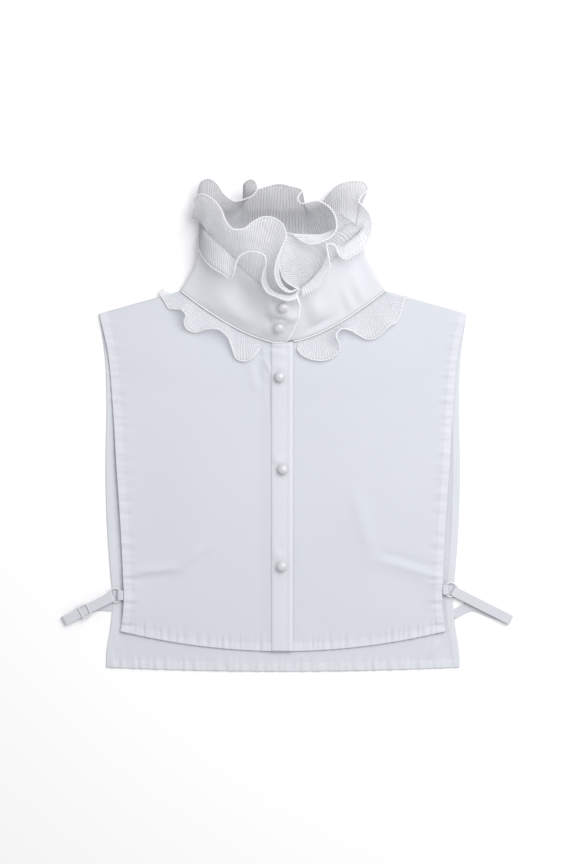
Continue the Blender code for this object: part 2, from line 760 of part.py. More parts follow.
def add_buttons(material):
    mesh = button_mesh()
    mesh.materials.append(material)
    seats = []
    for button in COLLAR_BUTTONS:
        turn = np.array([float(button.turn)])
        seat = collar_surface(turn, np.array([button.rise]), COLLAR_CLOTH / 2 + SEAM_GAP)
        seats.append((seat[0], collar_frame(turn, button.rise)[2][0]))
    for button in BAND_BUTTONS:
        top = front_top(np.array(button.x), np.array(button.y), 1) + LAYER + SEAM_GAP
        seats.append((np.array([button.x, button.y, float(top)]), np.array([0.0, 0.0, 1.0])))
    for number, (place, axis) in enumerate(seats, start=1):
        piece = bpy.data.objects.new(f"button_{number}", mesh)
        turn = Vector((0, 0, 1)).rotation_difference(Vector(axis))
        piece.matrix_world = Matrix.Translation(Vector(place * MM)) @ turn.to_matrix().to_4x4()
        bpy.context.scene.collection.objects.link(piece)


def half_turn(centre, height, radius, way):
    """Distances and heights of a strap's U-turn: it bulges by its radius along the way given."""
    angles = np.linspace(-90, 90, STRAP_TURN_POINTS)
    along = centre + way * radius * np.cos(np.radians(angles))
    return np.stack([along, height + radius * np.sin(np.radians(angles))], axis=1)


def add_ribbon(name, route, across, material):
    """A flat strap about a route, its width lying along the directions given."""
    half = across * STRAP_WIDTH / 2
    grid = np.stack([route - half, route, route + half])
    add_sheet(name, grid, CLOTH, material)


def plan_direction(start, end):
    return unit(np.array(end, float) - np.array(start, float))


def add_strap(side, strap, material):
    """An elastic strap: back through the ring, out to its fold and in again to the back's edge."""
    word = "left" if side > 0 else "right"
    ring = np.array([strap.ring_x, strap.ring_y])
    fold = np.array([strap.fold_x, strap.fold_y])
    seam = np.array([strap.seam_x, strap.seam_y])
    length = np.linalg.norm(fold - ring)
    out = plan_direction(ring, fold)
    low = RING_HEIGHT - STRAP_TURN
    high = RING_HEIGHT + STRAP_TURN
    start = np.array([[strap.return_end, low], [STRAP_IN_RING + STRAP_TURN + 1, low]])
    inner = half_turn(STRAP_IN_RING + STRAP_TURN, RING_HEIGHT, STRAP_TURN, -1)
    end_radius = (high - CLOTH / 2) / 2
    outer = half_turn(length - end_radius, high - end_radius, end_radius, 1)[::-1]
    upper = np.concatenate([start, inner, outer])
    route = raised(ring + out * upper[:, :1], upper[:, 1])
    bend = np.array([strap.bend_x, strap.bend_y])
    turns = np.stack([route[-1, :2], (route[-1, :2] + bend) / 2, bend, seam])
    turns = raised(turns, np.full(len(turns), CLOTH / 2))
    home = smooth_path(turns, STRAP_HOME_POINTS + 1)
    headings = np.concatenate([np.tile(out, (len(route), 1)), -np.gradient(home[:, :2], axis=0)[1:]])
    route = np.concatenate([route, home[1:]])
    across = raised(unit(np.stack([-headings[:, 1], headings[:, 0]], axis=1)), np.zeros(len(route)))
    add_ribbon(f"strap_{word}", route, across, material)


def add_tab(side, strap, material):
    """The short tab that holds the ring: it is folded round the ring, its ends sewn under the front."""
    word = "left" if side > 0 else "right"
    low = RING_HEIGHT - STRAP_TURN
    under = np.array([[TAB_UNDER, low], [TAB_RING_SIDE, low]])
    turn = half_turn(STRAP_IN_RING + STRAP_TURN, RING_HEIGHT, STRAP_TURN, -1)
    over = np.array([[TAB_RING_SIDE, RING_HEIGHT + STRAP_TURN], [TAB_OVER, RING_HEIGHT + STRAP_TURN]])
    along = np.concatenate([under, turn, over])
    ring = np.array([strap.ring_x, strap.ring_y])
    inwards = np.array([-side, 0.0])
    route = raised(ring + inwards * along[:, :1], along[:, 1])
    across = np.broadcast_to([0.0, 1.0, 0.0], route.shape)
    add_ribbon(f"tab_{word}", route, across, material)


def add_ring(side, strap, material):
    word = "left" if side > 0 else "right"
    bpy.ops.mesh.primitive_torus_add(
        location=(strap.ring_x * MM, strap.ring_y * MM, RING_HEIGHT * MM),
        major_radius=RING_RADIUS * MM,
        minor_radius=RING_WIRE * MM,
        major_segments=RING_SEGMENTS[0],
        minor_segments=RING_SEGMENTS[1],
    )
    ring = bpy.context.active_object
    ring.name = f"ring_{word}"
    ring.data.materials.append(material)
    ring.data.shade_smooth()


def add_slider(name, strap, material):
    """A slider: two bars over the strap, one bar under it, joined by the sides."""
    out = plan_direction((strap.ring_x, strap.ring_y), (strap.fold_x, strap.fold_y))
    centre = np.array([strap.ring_x, strap.ring_y]) + out * strap.return_end
    height = RING_HEIGHT + STRAP_TURN
    opening = CLOTH / 2 + SEAM_GAP
    tall = 2 * (opening + SLIDER_BAR)
    wide = STRAP_WIDTH + 2 * (SEAM_GAP + SLIDER_BAR)
    slot = STRAP_WIDTH + 2 * SEAM_GAP
    gap = (SLIDER_LENGTH - 3 * SLIDER_BAR) / 2
    middle = 2 * gap + SLIDER_BAR
    block = add_box(name, (0, 0, 0), (SLIDER_LENGTH, wide, tall))
    block.data.materials.append(material)
    cuts = [((0, 0, 0), (2 * SLIDER_LENGTH, slot, 2 * opening))]
    cuts.append(((0, 0, tall / 2), (middle, slot, tall)))
    for way in (-1, 1):
        away = way * (SLIDER_LENGTH + SLIDER_BAR) / 2
        cuts.append(((away, 0, -tall / 2), (SLIDER_LENGTH, slot, tall)))
    for number, (place, size) in enumerate(cuts):
        cutter = add_box(f"{name}_cutter_{number}", place, size)
        cutter.hide_render = True
        cutter.display_type = "WIRE"
        cutter.parent = block
        cut = block.modifiers.new(f"cut_{number}", "BOOLEAN")
        cut.operation = "DIFFERENCE"
        cut.object = cutter
    block.location = (centre[0] * MM, centre[1] * MM, height * MM)
    block.rotation_euler.z = np.arctan2(out[1], out[0])


def add_box(name, place, size):
    """A box about a place, both in millimetres, its size in its mesh."""
    mesh = bpy.data.meshes.new(name)
    shape = bmesh.new()
    bmesh.ops.create_cube(shape, size=1.0, matrix=Matrix.Diagonal((*(np.array(size) * MM), 1.0)))
    shape.to_mesh(mesh)
    shape.free()
    piece = bpy.data.objects.new(name, mesh)
    bpy.context.scene.collection.objects.link(piece)
    piece.location = [value * MM for value in place]
    return piece


for old in list(bpy.data.objects):
    bpy.data.objects.remove(old)

cotton = finish("white_cotton", (0.80, 0.82, 0.88), 0.85)
organza = finish("pleated_organza", (0.84, 0.85, 0.88), 0.7)
satin = finish("piping_satin", (0.88, 0.89, 0.92), 0.5)
pearl = finish("pearl_button", (0.86, 0.86, 0.88), 0.25)
elastic = finish("white_elastic", (0.82, 0.83, 0.87), 0.7)
plastic = finish("white_plastic", (0.88, 0.88, 0.90), 0.35)

add_panels(cotton)
add_collar(cotton)
add_rim_ruffle(
    "ruffle_upper", UPPER_FOLDS, -RUFFLE_SPACING, UPPER_RUFFLE_HEIGHT, UPPER_COLUMNS, organza
)
add_rim_ruffle(
    "ruffle_lower", LOWER_FOLDS, RUFFLE_SPACING, LOWER_RUFFLE_HEIGHT, LOWER_COLUMNS, organza
)
add_neck_ruffle("neck_ruffle_right", NECK_FOLDS_RIGHT, 1, organza)
add_neck_ruffle("neck_ruffle_left", NECK_FOLDS_LEFT, 0, organza)
add_back_neck_ruffle(organza)
add_piping("piping_right", np.linspace(*RIGHT_PIPING, PIPING_POINTS), satin)
add_piping("piping_left", np.linspace(*LEFT_PIPING, PIPING_POINTS), satin)
add_buttons(pearl)
for side, strap in ((-1, RIGHT_STRAP), (1, LEFT_STRAP)):
    add_ring(side, strap, plastic)
    add_tab(side, strap, elastic)
    add_strap(side, strap, elastic)
add_slider("slider_right", RIGHT_STRAP, plastic)
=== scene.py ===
"""Looks of the ruffled collar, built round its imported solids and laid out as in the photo.

Tables and sizes are in millimetres in the part's own frame: X across to the wearer's left, Y up to the
ruffles, Z up from the table. A turn is an angle round the neck in degrees, 0 at the centre front, 90 at
the wearer's right and 180 at the back.
"""

from collections import namedtuple

import bpy
import numpy as np
from mathutils import Matrix, Vector


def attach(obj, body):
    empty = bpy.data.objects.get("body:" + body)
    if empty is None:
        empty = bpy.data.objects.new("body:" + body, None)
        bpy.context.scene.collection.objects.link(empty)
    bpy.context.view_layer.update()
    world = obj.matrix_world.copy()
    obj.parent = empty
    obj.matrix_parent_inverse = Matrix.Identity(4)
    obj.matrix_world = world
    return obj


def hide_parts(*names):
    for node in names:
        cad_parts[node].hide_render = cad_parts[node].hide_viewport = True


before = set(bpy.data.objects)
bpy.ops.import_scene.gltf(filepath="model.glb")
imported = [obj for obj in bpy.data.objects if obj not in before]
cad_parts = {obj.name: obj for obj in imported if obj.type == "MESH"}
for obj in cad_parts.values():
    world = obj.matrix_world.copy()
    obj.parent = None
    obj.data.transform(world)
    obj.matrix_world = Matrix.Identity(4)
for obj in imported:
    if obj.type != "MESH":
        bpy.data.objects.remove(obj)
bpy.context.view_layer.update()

# Stand collar: one band of interfaced white cotton, stood up round the neck and puffed out as it
# lies. The wearer's right end laps over the left, turned in at its edge, and two pearl buttons
# hold it. Its shape repeats the solid's own rule, with the pulls and dents of the cloth added.
MM = 0.001
NECK_HALF_WIDTH = 77.0
NECK_FLARE = 24.0
NECK_FLARE_BEND = 1.6
BASE_Y = 134.0
COLLAR_RISE = 56.0
FRONT_DIP = (50.6, 64.0)
FRONT_BEND = (1.42, 1.15)
BACK_DIP = (16.0, 12.0)
BACK_BEND = 1.5
FRONT_HEIGHT = (4.6, 35.0)
BACK_HEIGHT = (0.7, 1.3)
SIDE_SWELL = 1.6
SIDE_ROUNDING = (0.4, 1.0)
FRONT_SOFTNESS = 0.12
LAP_SHIFT = (1.8, 2.7)
LAP_FULL = 6.5
LAP_NONE = 14.3
UNDER_END = 365.5
COLLAR_CLOTH = 1.3
COLLAR_GRID = (30, 320)
SEAM_RISE = -0.018
RIM_RISE = 1.02
COLLAR_CROWDING = 0.6
LapEnd = namedtuple("LapEnd", "rise turn")
OVER_END = (
    LapEnd(0.0, -2.6), LapEnd(0.25, -7.0), LapEnd(0.5, -10.6), LapEnd(0.73, -12.0), LapEnd(1.0, -9.7)
)
OVER_EDGE_LIFT = 1.0
OVER_EDGE_REACH = 5.0
# How thick the cloth is at the first points in from the over end, which is rolled, as a share.
OVER_EDGE_ROLL = (2.2, 2.7, 2.4, 1.3, 0.75)
# How much the over end's rolled edge is painted paler, and over how many degrees it fades: partly its extra
# cloth, partly a painted highlight where it faces the lamp.
OVER_EDGE_FOLDS_AND_HIGHLIGHT = 1.6
OVER_EDGE_FOLDS_AND_HIGHLIGHT_TURN = 1.2
COLLAR_EDGE_SHARE = 0.45
SEAM_HOLD = 0.08
RIM_HOLD = 0.12
UNDER_LAP_TURN = 300
LAP_PULL_TURN = 12

# A pull or dent of the collar: its middle, its half lengths round and up the collar, and its height.
Pull = namedtuple("Pull", "turn rise around up height")
COLLAR_PULLS = (
    Pull(2, 0.63, 5, 0.07, 2.4),
    Pull(-6, 0.53, 4, 0.09, 2.6),
    Pull(6.5, 0.84, 3.0, 0.10, -2.4),
    Pull(-5, 0.80, 3.0, 0.14, -2.2),
    Pull(9, 0.41, 3.0, 0.11, -2.6),
    Pull(1, 0.50, 4, 0.05, -1.0),
    Pull(4, 0.16, 9, 0.08, 0.7),
    Pull(346, 0.80, 3.5, 0.34, -1.8),
    Pull(32, 0.62, 13, 0.22, -3.4),
    Pull(30, 0.24, 12, 0.15, 3.0),
    Pull(46, 0.40, 12, 0.50, 2.2),
    Pull(68, 0.55, 8, 0.45, -0.9),
    Pull(-16, 0.30, 5, 0.35, -0.8),
    Pull(-22, 0.42, 5, 0.22, 3.4),
    Pull(-23, 0.13, 7, 0.07, -2.0),
    Pull(-39, 0.18, 2.6, 0.22, -0.9),
    Pull(-44, 0.20, 2.2, 0.25, 0.9),
    Pull(-49, 0.16, 2.4, 0.20, -0.8),
    Pull(-55, 0.22, 3.0, 0.26, 0.9),
    Pull(-66, 0.60, 8, 0.40, -2.0),
    Pull(150, 0.5, 14, 0.4, 0.5),
    Pull(205, 0.5, 14, 0.4, 0.5),
)


def ease(x):
    """0 up to 0, 1 from 1 on, and a smooth rise between."""
    x = np.clip(x, 0.0, 1.0)
    return x * x * (3.0 - 2.0 * x)


def mix(ends, share):
    return ends[0] + (ends[1] - ends[0]) * share


def unit(vectors):
    return vectors / np.linalg.norm(vectors, axis=-1, keepdims=True)


def points_of(x, y, z):
    return np.stack(np.broadcast_arrays(x, y, z), axis=-1).astype(float)


def collar_middle(turn, rise):
    """A point in the middle of the collar's cloth, rise being 0 at the neck seam and 1 at the rim."""
    turn, rise = np.broadcast_arrays(np.asarray(turn, float), np.asarray(rise, float))
    sine = np.sin(np.radians(turn))
    cosine = np.cos(np.radians(turn))
    half_width = NECK_HALF_WIDTH + NECK_FLARE * np.clip(1 - rise, 0, None) ** NECK_FLARE_BEND
    soft = np.sqrt(sine**2 + FRONT_SOFTNESS**2) - FRONT_SOFTNESS
    soft = soft / (np.sqrt(1 + FRONT_SOFTNESS**2) - FRONT_SOFTNESS)
    front = mix(FRONT_DIP, rise) * (1 - soft ** mix(FRONT_BEND, rise))
    back = mix(BACK_DIP, rise) * (1 - np.abs(sine) ** BACK_BEND)
    y = BASE_Y + COLLAR_RISE * rise - np.where(cosine > 0, front, back)
    top = mix(FRONT_HEIGHT, rise) + SIDE_SWELL * sine**2 * (1 - rise)
    bottom = mix(BACK_HEIGHT, rise)
    rounding = mix(SIDE_ROUNDING, np.clip(rise, 0, 1))
    weight = 0.5 * (1 + np.sign(cosine) * np.abs(cosine) ** rounding)
    return points_of(-half_width * sine, y, bottom + (top - bottom) * weight)


def collar_frame(turn, rise):
    """The collar's middle point with its directions up the collar and out of the neck."""
    turn = np.asarray(turn, float)
    point = collar_middle(turn, rise)
    up = unit(collar_middle(turn, rise + 0.01) - collar_middle(turn, rise - 0.01))
    along = collar_middle(turn + 0.5, rise) - collar_middle(turn - 0.5, rise)
    return point, up, unit(np.cross(up, along))


def collar_surface(turn, rise, out=0.0):
    """A point of the collar, moved out of its middle and over the lap."""
    point, _, outwards = collar_frame(turn, rise)
    over = mix(LAP_SHIFT, rise) * (1 - ease((turn - LAP_FULL) / (LAP_NONE - LAP_FULL)))
    return point + outwards * (out + over)[..., None]


def free_of_seams(rise):
    """0 where the collar is held by its neck seam and its rim, and 1 between them."""
    return ease(rise / SEAM_HOLD) * ease((1 - rise) / RIM_HOLD)


def pulls_of(turn, rise):
    """How far the pulls and dents move the collar outwards. Those of the lap leave its under end."""
    signed = np.where(turn > 180, turn - 360, turn)
    total = np.zeros(np.broadcast(turn, rise).shape)
    for pull in COLLAR_PULLS:
        place = turn if pull.turn > 90 else signed
        on_lap = abs(pull.turn) < LAP_PULL_TURN
        share = np.where((turn > UNDER_LAP_TURN) & on_lap, 0.0, 1.0)
        bell = np.exp(-(((place - pull.turn) / pull.around) ** 2) - ((rise - pull.rise) / pull.up) ** 2)
        total = total + pull.height * bell * share
    return total * free_of_seams(rise)


def lengths_along(grid, axis):
    """How far each point of a grid lies along its row or column."""
    steps = np.linalg.norm(np.diff(grid, axis=axis), axis=-1)
    start = np.zeros_like(np.take(steps, [0], axis=axis))
    return np.concatenate([start, np.cumsum(steps, axis=axis)], axis=axis)


def cloth_uv(grid):
    """Flat places of a grid's points, measured along the cloth."""
    return np.stack([lengths_along(grid, 1), lengths_along(grid, 0)], axis=-1)


def wall_mesh(name, lower, upper, uv, values):
    """A closed cloth shell between two grids of points, with its own UV map and point values."""
    rows, columns = lower.shape[:2]
    count = rows * columns
    corner = np.arange(count).reshape(rows, columns)
    quads = np.stack([corner[:-1, :-1], corner[:-1, 1:], corner[1:, 1:], corner[1:, :-1]], axis=-1)
    quads = quads.reshape(-1, 4)
    border = np.concatenate([corner[0, :-1], corner[:-1, -1], corner[-1, :0:-1], corner[:0:-1, 0]])
    following = np.roll(border, -1)
    rim = np.stack([border, following, following + count, border + count], axis=-1)
    faces = np.concatenate([quads[:, ::-1], quads + count, rim])
    points = np.concatenate([lower.reshape(-1, 3), upper.reshape(-1, 3)]) * MM
    first, second, third, fourth = (points[faces[:, i]] for i in range(4))
    if np.sum(first * (np.cross(second, third) + np.cross(third, fourth))) < 0:
        faces = faces[:, ::-1]
    mesh = bpy.data.meshes.new(name)
    mesh.from_pydata(points.tolist(), [], faces.tolist())
    layer = mesh.uv_layers.new(name="cloth")
    places = np.concatenate([uv.reshape(-1, 2), uv.reshape(-1, 2)]) * MM
    layer.data.foreach_set("uv", places[faces.reshape(-1)].reshape(-1).astype(np.float32))
    for key, value in values.items():
        both = np.concatenate([value.reshape(count, -1), value.reshape(count, -1)])
        kind, part = ("FLOAT", "value") if both.shape[1] == 1 else ("FLOAT_VECTOR", "vector")
        field = mesh.attributes.new(key, kind, "POINT")
        field.data.foreach_set(part, both.reshape(-1).astype(np.float32))
    mesh.shade_smooth()
    return mesh


def placed(name, data):
    """A new object in the scene."""
    thing = bpy.data.objects.new(name, data)
    bpy.context.scene.collection.objects.link(thing)
    return thing


def show(name, mesh, material=None):
    """Puts a finished mesh in the scene as a piece that rides with the collar."""
    if material:
        mesh.materials.append(material)
    piece = placed(name, mesh)
    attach(piece, "root")
    return piece


def grid_normals(grid):
    return unit(np.cross(np.gradient(grid, axis=1), np.gradient(grid, axis=0)))


def border_share(shape, share):
    """1 inside a grid, and the share given on its border, which thins the cloth's edge."""
    field = np.ones(shape)
    field[0] = field[-1] = share
    field[:, 0] = field[:, -1] = share
    return field[..., None]


def math_node(tree, operation, first, second=None):
    """A Math node with values or sockets as its inputs."""
    node = tree.nodes.new("ShaderNodeMath")
    node.operation = operation
    for socket, value in zip(node.inputs, (first, second)):
        if isinstance(value, bpy.types.NodeSocket):
            tree.links.new(value, socket)
        elif value is not None:
            socket.default_value = value
    return node.outputs[0]


def plain_shader(name, colour, roughness):
    """A new material and its Principled shader."""
    material = bpy.data.materials.new(name)
    material.use_nodes = True
    shader = material.node_tree.nodes["Principled BSDF"]
    shader.inputs["Base Color"].default_value = (*colour, 1.0)
    shader.inputs["Roughness"].default_value = roughness
    return material, shader


def mixed_colour(tree, factor, first, second):
    node = tree.nodes.new("ShaderNodeMix")
    node.data_type = "RGBA"
    tree.links.new(factor, node.inputs[0])
    node.inputs[6].default_value = (*first, 1.0)
    node.inputs[7].default_value = (*second, 1.0)
    return node.outputs[2]


def noise_node(tree, scale, detail):
    """Soft noise that lies still on the object."""
    coordinates = tree.nodes.new("ShaderNodeTexCoord")
    node = tree.nodes.new("ShaderNodeTexNoise")
    node.inputs["Scale"].default_value = scale
    node.inputs["Detail"].default_value = detail
    tree.links.new(coordinates.outputs["Object"], node.inputs["Vector"])
    return node.outputs["Fac"]


def value_node(tree, name):
    """A value that the mesh carries at its points."""
    node = tree.nodes.new("ShaderNodeAttribute")
    node.attribute_name = name
    return node.outputs["Fac"]


def clamp_node(tree, value):
    node = tree.nodes.new("ShaderNodeClamp")
    tree.links.new(value, node.inputs[0])
    return node.outputs[0]


def bump_node(tree, height, distance, strength, before=None):
    node = tree.nodes.new("ShaderNodeBump")
    node.inputs["Distance"].default_value = distance
    node.inputs["Strength"].default_value = strength
    tree.links.new(height, node.inputs["Height"])
    if before:
        tree.links.new(before, node.inputs["Normal"])
    return node.outputs["Normal"]


COTTON_THREAD = 0.42
COTTON_ROUGHNESS = 0.82
WEAVE_DEPTH = 0.06
RUMPLE_DEPTH = 0.9
RUMPLE_SCALE = 55.0
CLOUD_SCALE = 9.0
CLOUD_SHARE = 0.5


def woven_cotton(name, colour, folds_and_highlight_colour, thread=COTTON_THREAD):
    """Plain-woven white cotton: crossing threads along the cloth, soft rumples, and whiter folds, the same
    whitening painting a highlight on rolled edges that face the lamp.
    """
    material, shader = plain_shader(name, colour, COTTON_ROUGHNESS)
    tree = material.node_tree
    uv = tree.nodes.new("ShaderNodeUVMap")
    uv.uv_map = "cloth"
    axes = tree.nodes.new("ShaderNodeSeparateXYZ")
    tree.links.new(uv.outputs[0], axes.inputs[0])
    turns = 2 * np.pi / (2 * thread * MM)
    across = math_node(tree, "SINE", math_node(tree, "MULTIPLY", axes.outputs[0], turns))
    along = math_node(tree, "SINE", math_node(tree, "MULTIPLY", axes.outputs[1], turns))
    weave = math_node(tree, "MULTIPLY", across, along)
    cloud = math_node(tree, "SUBTRACT", noise_node(tree, CLOUD_SCALE, 2.0), 0.5)
    uneven = math_node(tree, "MULTIPLY", cloud, CLOUD_SHARE)
    # The second colour is mixed in by a value at the points and by random clouds: on hems it stands for the
    # folded cloth, on rolled edges partly for the folds and partly as a painted highlight.
    thick = clamp_node(tree, math_node(tree, "ADD", value_node(tree, "folds_and_highlight"), uneven))
    tree.links.new(mixed_colour(tree, thick, colour, folds_and_highlight_colour), shader.inputs["Base Color"])
    rumpled = bump_node(tree, noise_node(tree, RUMPLE_SCALE, 3.0), RUMPLE_DEPTH * MM, 0.35)
    woven = bump_node(tree, weave, WEAVE_DEPTH * MM, 0.5, rumpled)
    tree.links.new(woven, shader.inputs["Normal"])
    shader.inputs["Sheen Weight"].default_value = 0.12
    shader.inputs["Specular IOR Level"].default_value = 0.25
    return material


COTTON_COLOUR = (0.595, 0.615, 0.660)
FOLDED_COLOUR = (0.675, 0.690, 0.738)
COLLAR_COLOUR = (0.668, 0.675, 0.718)
# The collar's paler colour: on the over end's rolled edge partly its extra cloth and partly a painted
# highlight, elsewhere mixed in as random clouds.
COLLAR_FOLDS_AND_HIGHLIGHT_COLOUR = (0.88, 0.88, 0.90)
cotton = woven_cotton("white_cotton", COTTON_COLOUR, FOLDED_COLOUR)
collar_cotton = woven_cotton("interfaced_cotton", COLLAR_COLOUR, COLLAR_FOLDS_AND_HIGHLIGHT_COLOUR)

rises = np.linspace(SEAM_RISE, RIM_RISE, COLLAR_GRID[0])[:, None]
ends = np.array(OVER_END)
first_turn = np.interp(rises, ends[:, 0], ends[:, 1])
share = np.linspace(0, 1, COLLAR_GRID[1])
share = share - COLLAR_CROWDING * np.sin(2 * np.pi * share) / (2 * np.pi)
turns = first_turn + (UNDER_END - first_turn) * share[None]
lift = OVER_EDGE_LIFT * np.clip(1 - (turns - first_turn) / OVER_EDGE_REACH, 0, 1) ** 2
lift = lift * free_of_seams(rises)
middle = collar_surface(turns, rises + 0 * turns, pulls_of(turns, rises) + lift)
shift = grid_normals(middle) * COLLAR_CLOTH / 2 * border_share(turns.shape, COLLAR_EDGE_SHARE)
shift[:, : len(OVER_EDGE_ROLL)] *= np.array(OVER_EDGE_ROLL)[None, :, None]
# The first points in from the over end are painted paler: partly the rolled edge's extra cloth, partly a
# painted highlight where it faces the lamp.
whiter = np.clip(OVER_EDGE_FOLDS_AND_HIGHLIGHT - (turns - first_turn) / OVER_EDGE_FOLDS_AND_HIGHLIGHT_TURN, 0, 1)
collar_mesh = wall_mesh("collar", middle - shift, middle + shift, cloth_uv(middle), {"folds_and_highlight": whiter})
collar = show("stand_collar", collar_mesh, collar_cotton)
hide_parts("collar_stand")

# Back: one piece of thin white cotton, longer than the fronts, that lies flat on the table. Its sides
# are turned in once and its hem twice and topstitched, so the hem draws up in small ripples.
LAYER = 1.3
CLOTH = 1.0
NECK_GAP = 1.1
SHOULDER_CORNER = (183.5, 110.0)
BACK_HEM = -247.0
BACK_HEM_CURVE = 4.0
BACK_LIFT = 1.2
BACK_LIFT_HALF_WIDTH = 115.0
BACK_LIFT_DEPTH = 45.0
BACK_LIFT_CENTRE_Y = 118.0
BACK_LIFT_FULL = 1.25
BACK_LIFT_FADE = 0.55
FREE_EDGE = -227.5
FREE_EDGE_CURVE = 20.0
FREE_FADE = 9.0
FREE_SIDE_X = 164
FREE_SIDE_FADE = 3
HEM_WIDTH = 7.5
HEM_STEP = 0.7
SINGLE_CLOTH = 0.55
HEM_CLOTH = 1.0
BACK_HEM_WHITE = 0.4
BACK_ROWS = 110
SHOULDER_COLUMNS = 54
NECK_COLUMNS = 84
SHOULDER_SHARE = 0.55
# Ripples drawn up by a hem's stitching: how deep, how far raised, how far apart, and their seed.
Ripple = namedtuple("Ripple", "depth raised spacing seed")
BACK_HEM_RIPPLE = Ripple(3.8, 0.8, 9.0, 5)
BACK_SIDE_RIPPLE = Ripple(0.6, 0.2, 11.0, 6)
BACK_RIPPLE_REACH = 11.0
BACK_HEM_LIFT = 0.8
BACK_SIDE_LIFT = 0.5
BACK_SLACK = 0.9
Edge = namedtuple("Edge", "y x")
BACK_SIDE = (
    Edge(-243, 176.5),
    Edge(-228, 176.0),
    Edge(-201, 172.0),
    Edge(-174, 170.0),
    Edge(-146, 172.5),
    Edge(-92, 176.0),
    Edge(-37, 177.0),
    Edge(17, 176.0),
    Edge(64, 177.5),
    Edge(110, 183.5),
)

# A crease of the cloth: its two ends, its width, and how high its ridge stands. It fades in over a
# share of its length from each end.
Crease = namedtuple("Crease", "x0 y0 x1 y1 width height")
CREASE_FADE = 0.3
BACK_CREASES = (
    Crease(171.5, -128, 169.0, -176, 1.6, 0.8),
    Crease(169.0, -176, 172.0, -238, 1.4, 0.9),
    Crease(168.5, -60, 169.5, -128, 2.0, 0.4),
    Crease(-171.0, -40, -170.0, -176, 2.0, 0.8),
    Crease(-166.5, -186, -166.0, -240, 1.6, 0.9),
    Crease(156, -208, 146, -238, 3.5, 2.2),
    Crease(148, -210, 138, -240, 3.5, 1.2),
    Crease(-52, -236, -46, -248, 5.0, 0.8),
    Crease(56, -234, 62, -248, 5.0, 0.8),
)


def distances(points):
    """How far each point lies along the line through the points."""
    steps = np.linalg.norm(np.diff(points, axis=0), axis=1)
    return np.concatenate([[0.0], np.cumsum(steps)])


def smooth_path(rows, count):
    """Points spaced evenly along a smooth curve through the rows, whose last three columns are x y z."""
    rows = np.array(rows, float)
    knots = distances(rows[:, -3:])
    slopes = np.gradient(rows, knots, axis=0)
    fine = np.linspace(0.0, knots[-1], 30 * len(rows))
    i = np.clip(np.searchsorted(knots, fine, side="right") - 1, 0, len(rows) - 2)
    span = (knots[i + 1] - knots[i])[:, None]
    t = (fine - knots[i])[:, None] / span
    curve = (
        rows[i] * (1 + 2 * t) * (1 - t) ** 2
        + rows[i + 1] * (3 - 2 * t) * t**2
        + slopes[i] * span * t * (1 - t) ** 2
        - slopes[i + 1] * span * t**2 * (1 - t)
    )
    along = distances(curve[:, -3:])
    even = np.linspace(0.0, along[-1], count)
    return np.stack([np.interp(even, along, column) for column in curve.T], axis=1)


def neck_line(turn, gap, over=0.0):
    """A plan point below the collar's neck seam."""
    point, up, _ = collar_frame(turn, 0.0)
    return point[..., :2] - unit(up[..., :2]) * (gap + over + 0.0 * turn)[..., None]


def back_lift(x, y, spread=1.0):
    """The back rises near the neck to make room for the ruffle under it."""
    across = x / BACK_LIFT_HALF_WIDTH
    along = (BACK_LIFT_CENTRE_Y - y) / BACK_LIFT_DEPTH
    far = np.sqrt(across**2 + along**2) / spread
    return BACK_LIFT * (1 - ease((far - BACK_LIFT_FULL) / BACK_LIFT_FADE))


def side_x(rows, y):
    """How far out a panel's side edge lies at a height y."""
    table = np.array(rows, float)
    spline = smooth_path(np.insert(table[:, ::-1], 2, 0.0, axis=1), 400)
    return np.interp(y, spline[:, 1], spline[:, 0])


def patch(bottom, top, left, right, share):
    """Fills the plan area between four border lines, with a row at each share of the way up."""
    u = (np.abs(bottom[:, 0] - bottom[0, 0]) / abs(bottom[-1, 0] - bottom[0, 0]))[None, :, None]
    v = share[:, None, None]
    across = (1 - v) * bottom[None] + v * top[None]
    along = (1 - u) * left[:, None] + u * right[:, None]
    low_corners = (1 - u) * bottom[0] + u * bottom[-1]
    high_corners = (1 - u) * top[0] + u * top[-1]
    return across + along - (1 - v) * low_corners - v * high_corners


def hem_spacing(count, length):
    """Distances from an edge: close together over the hem and its inner step, then even."""
    hem = [0.0, 0.5, HEM_WIDTH / 2, HEM_WIDTH - HEM_STEP, HEM_WIDTH, HEM_WIDTH + HEM_STEP]
    return np.concatenate([hem, np.linspace(HEM_WIDTH + HEM_STEP, length, count - len(hem) + 1)[1:]])


def raised(plan, height):
    """Plan points with their heights added."""
    return np.concatenate([plan, np.asarray(height)[..., None]], axis=-1)


def creases_at(x, y, rows):
    """Height of the creases at a plan point: each fades in along its length and away across it."""
    total = np.zeros(np.broadcast(x, y).shape)
    for crease in rows:
        way = np.array([crease.x1 - crease.x0, crease.y1 - crease.y0])
        length = np.linalg.norm(way)
        way = way / length
        along = (x - crease.x0) * way[0] + (y - crease.y0) * way[1]
        across = (y - crease.y0) * way[0] - (x - crease.x0) * way[1]
        fade = ease(along / (CREASE_FADE * length)) * ease((length - along) / (CREASE_FADE * length))
        total = total + crease.height * fade * np.exp(-((across / crease.width) ** 2))
    return total


RIPPLE_PITCHES = np.array([0.62, 0.81, 1.0, 1.37, 1.9])
RIPPLE_SWAY = 1.3
RIPPLE_SWAY_PITCH = 6.3


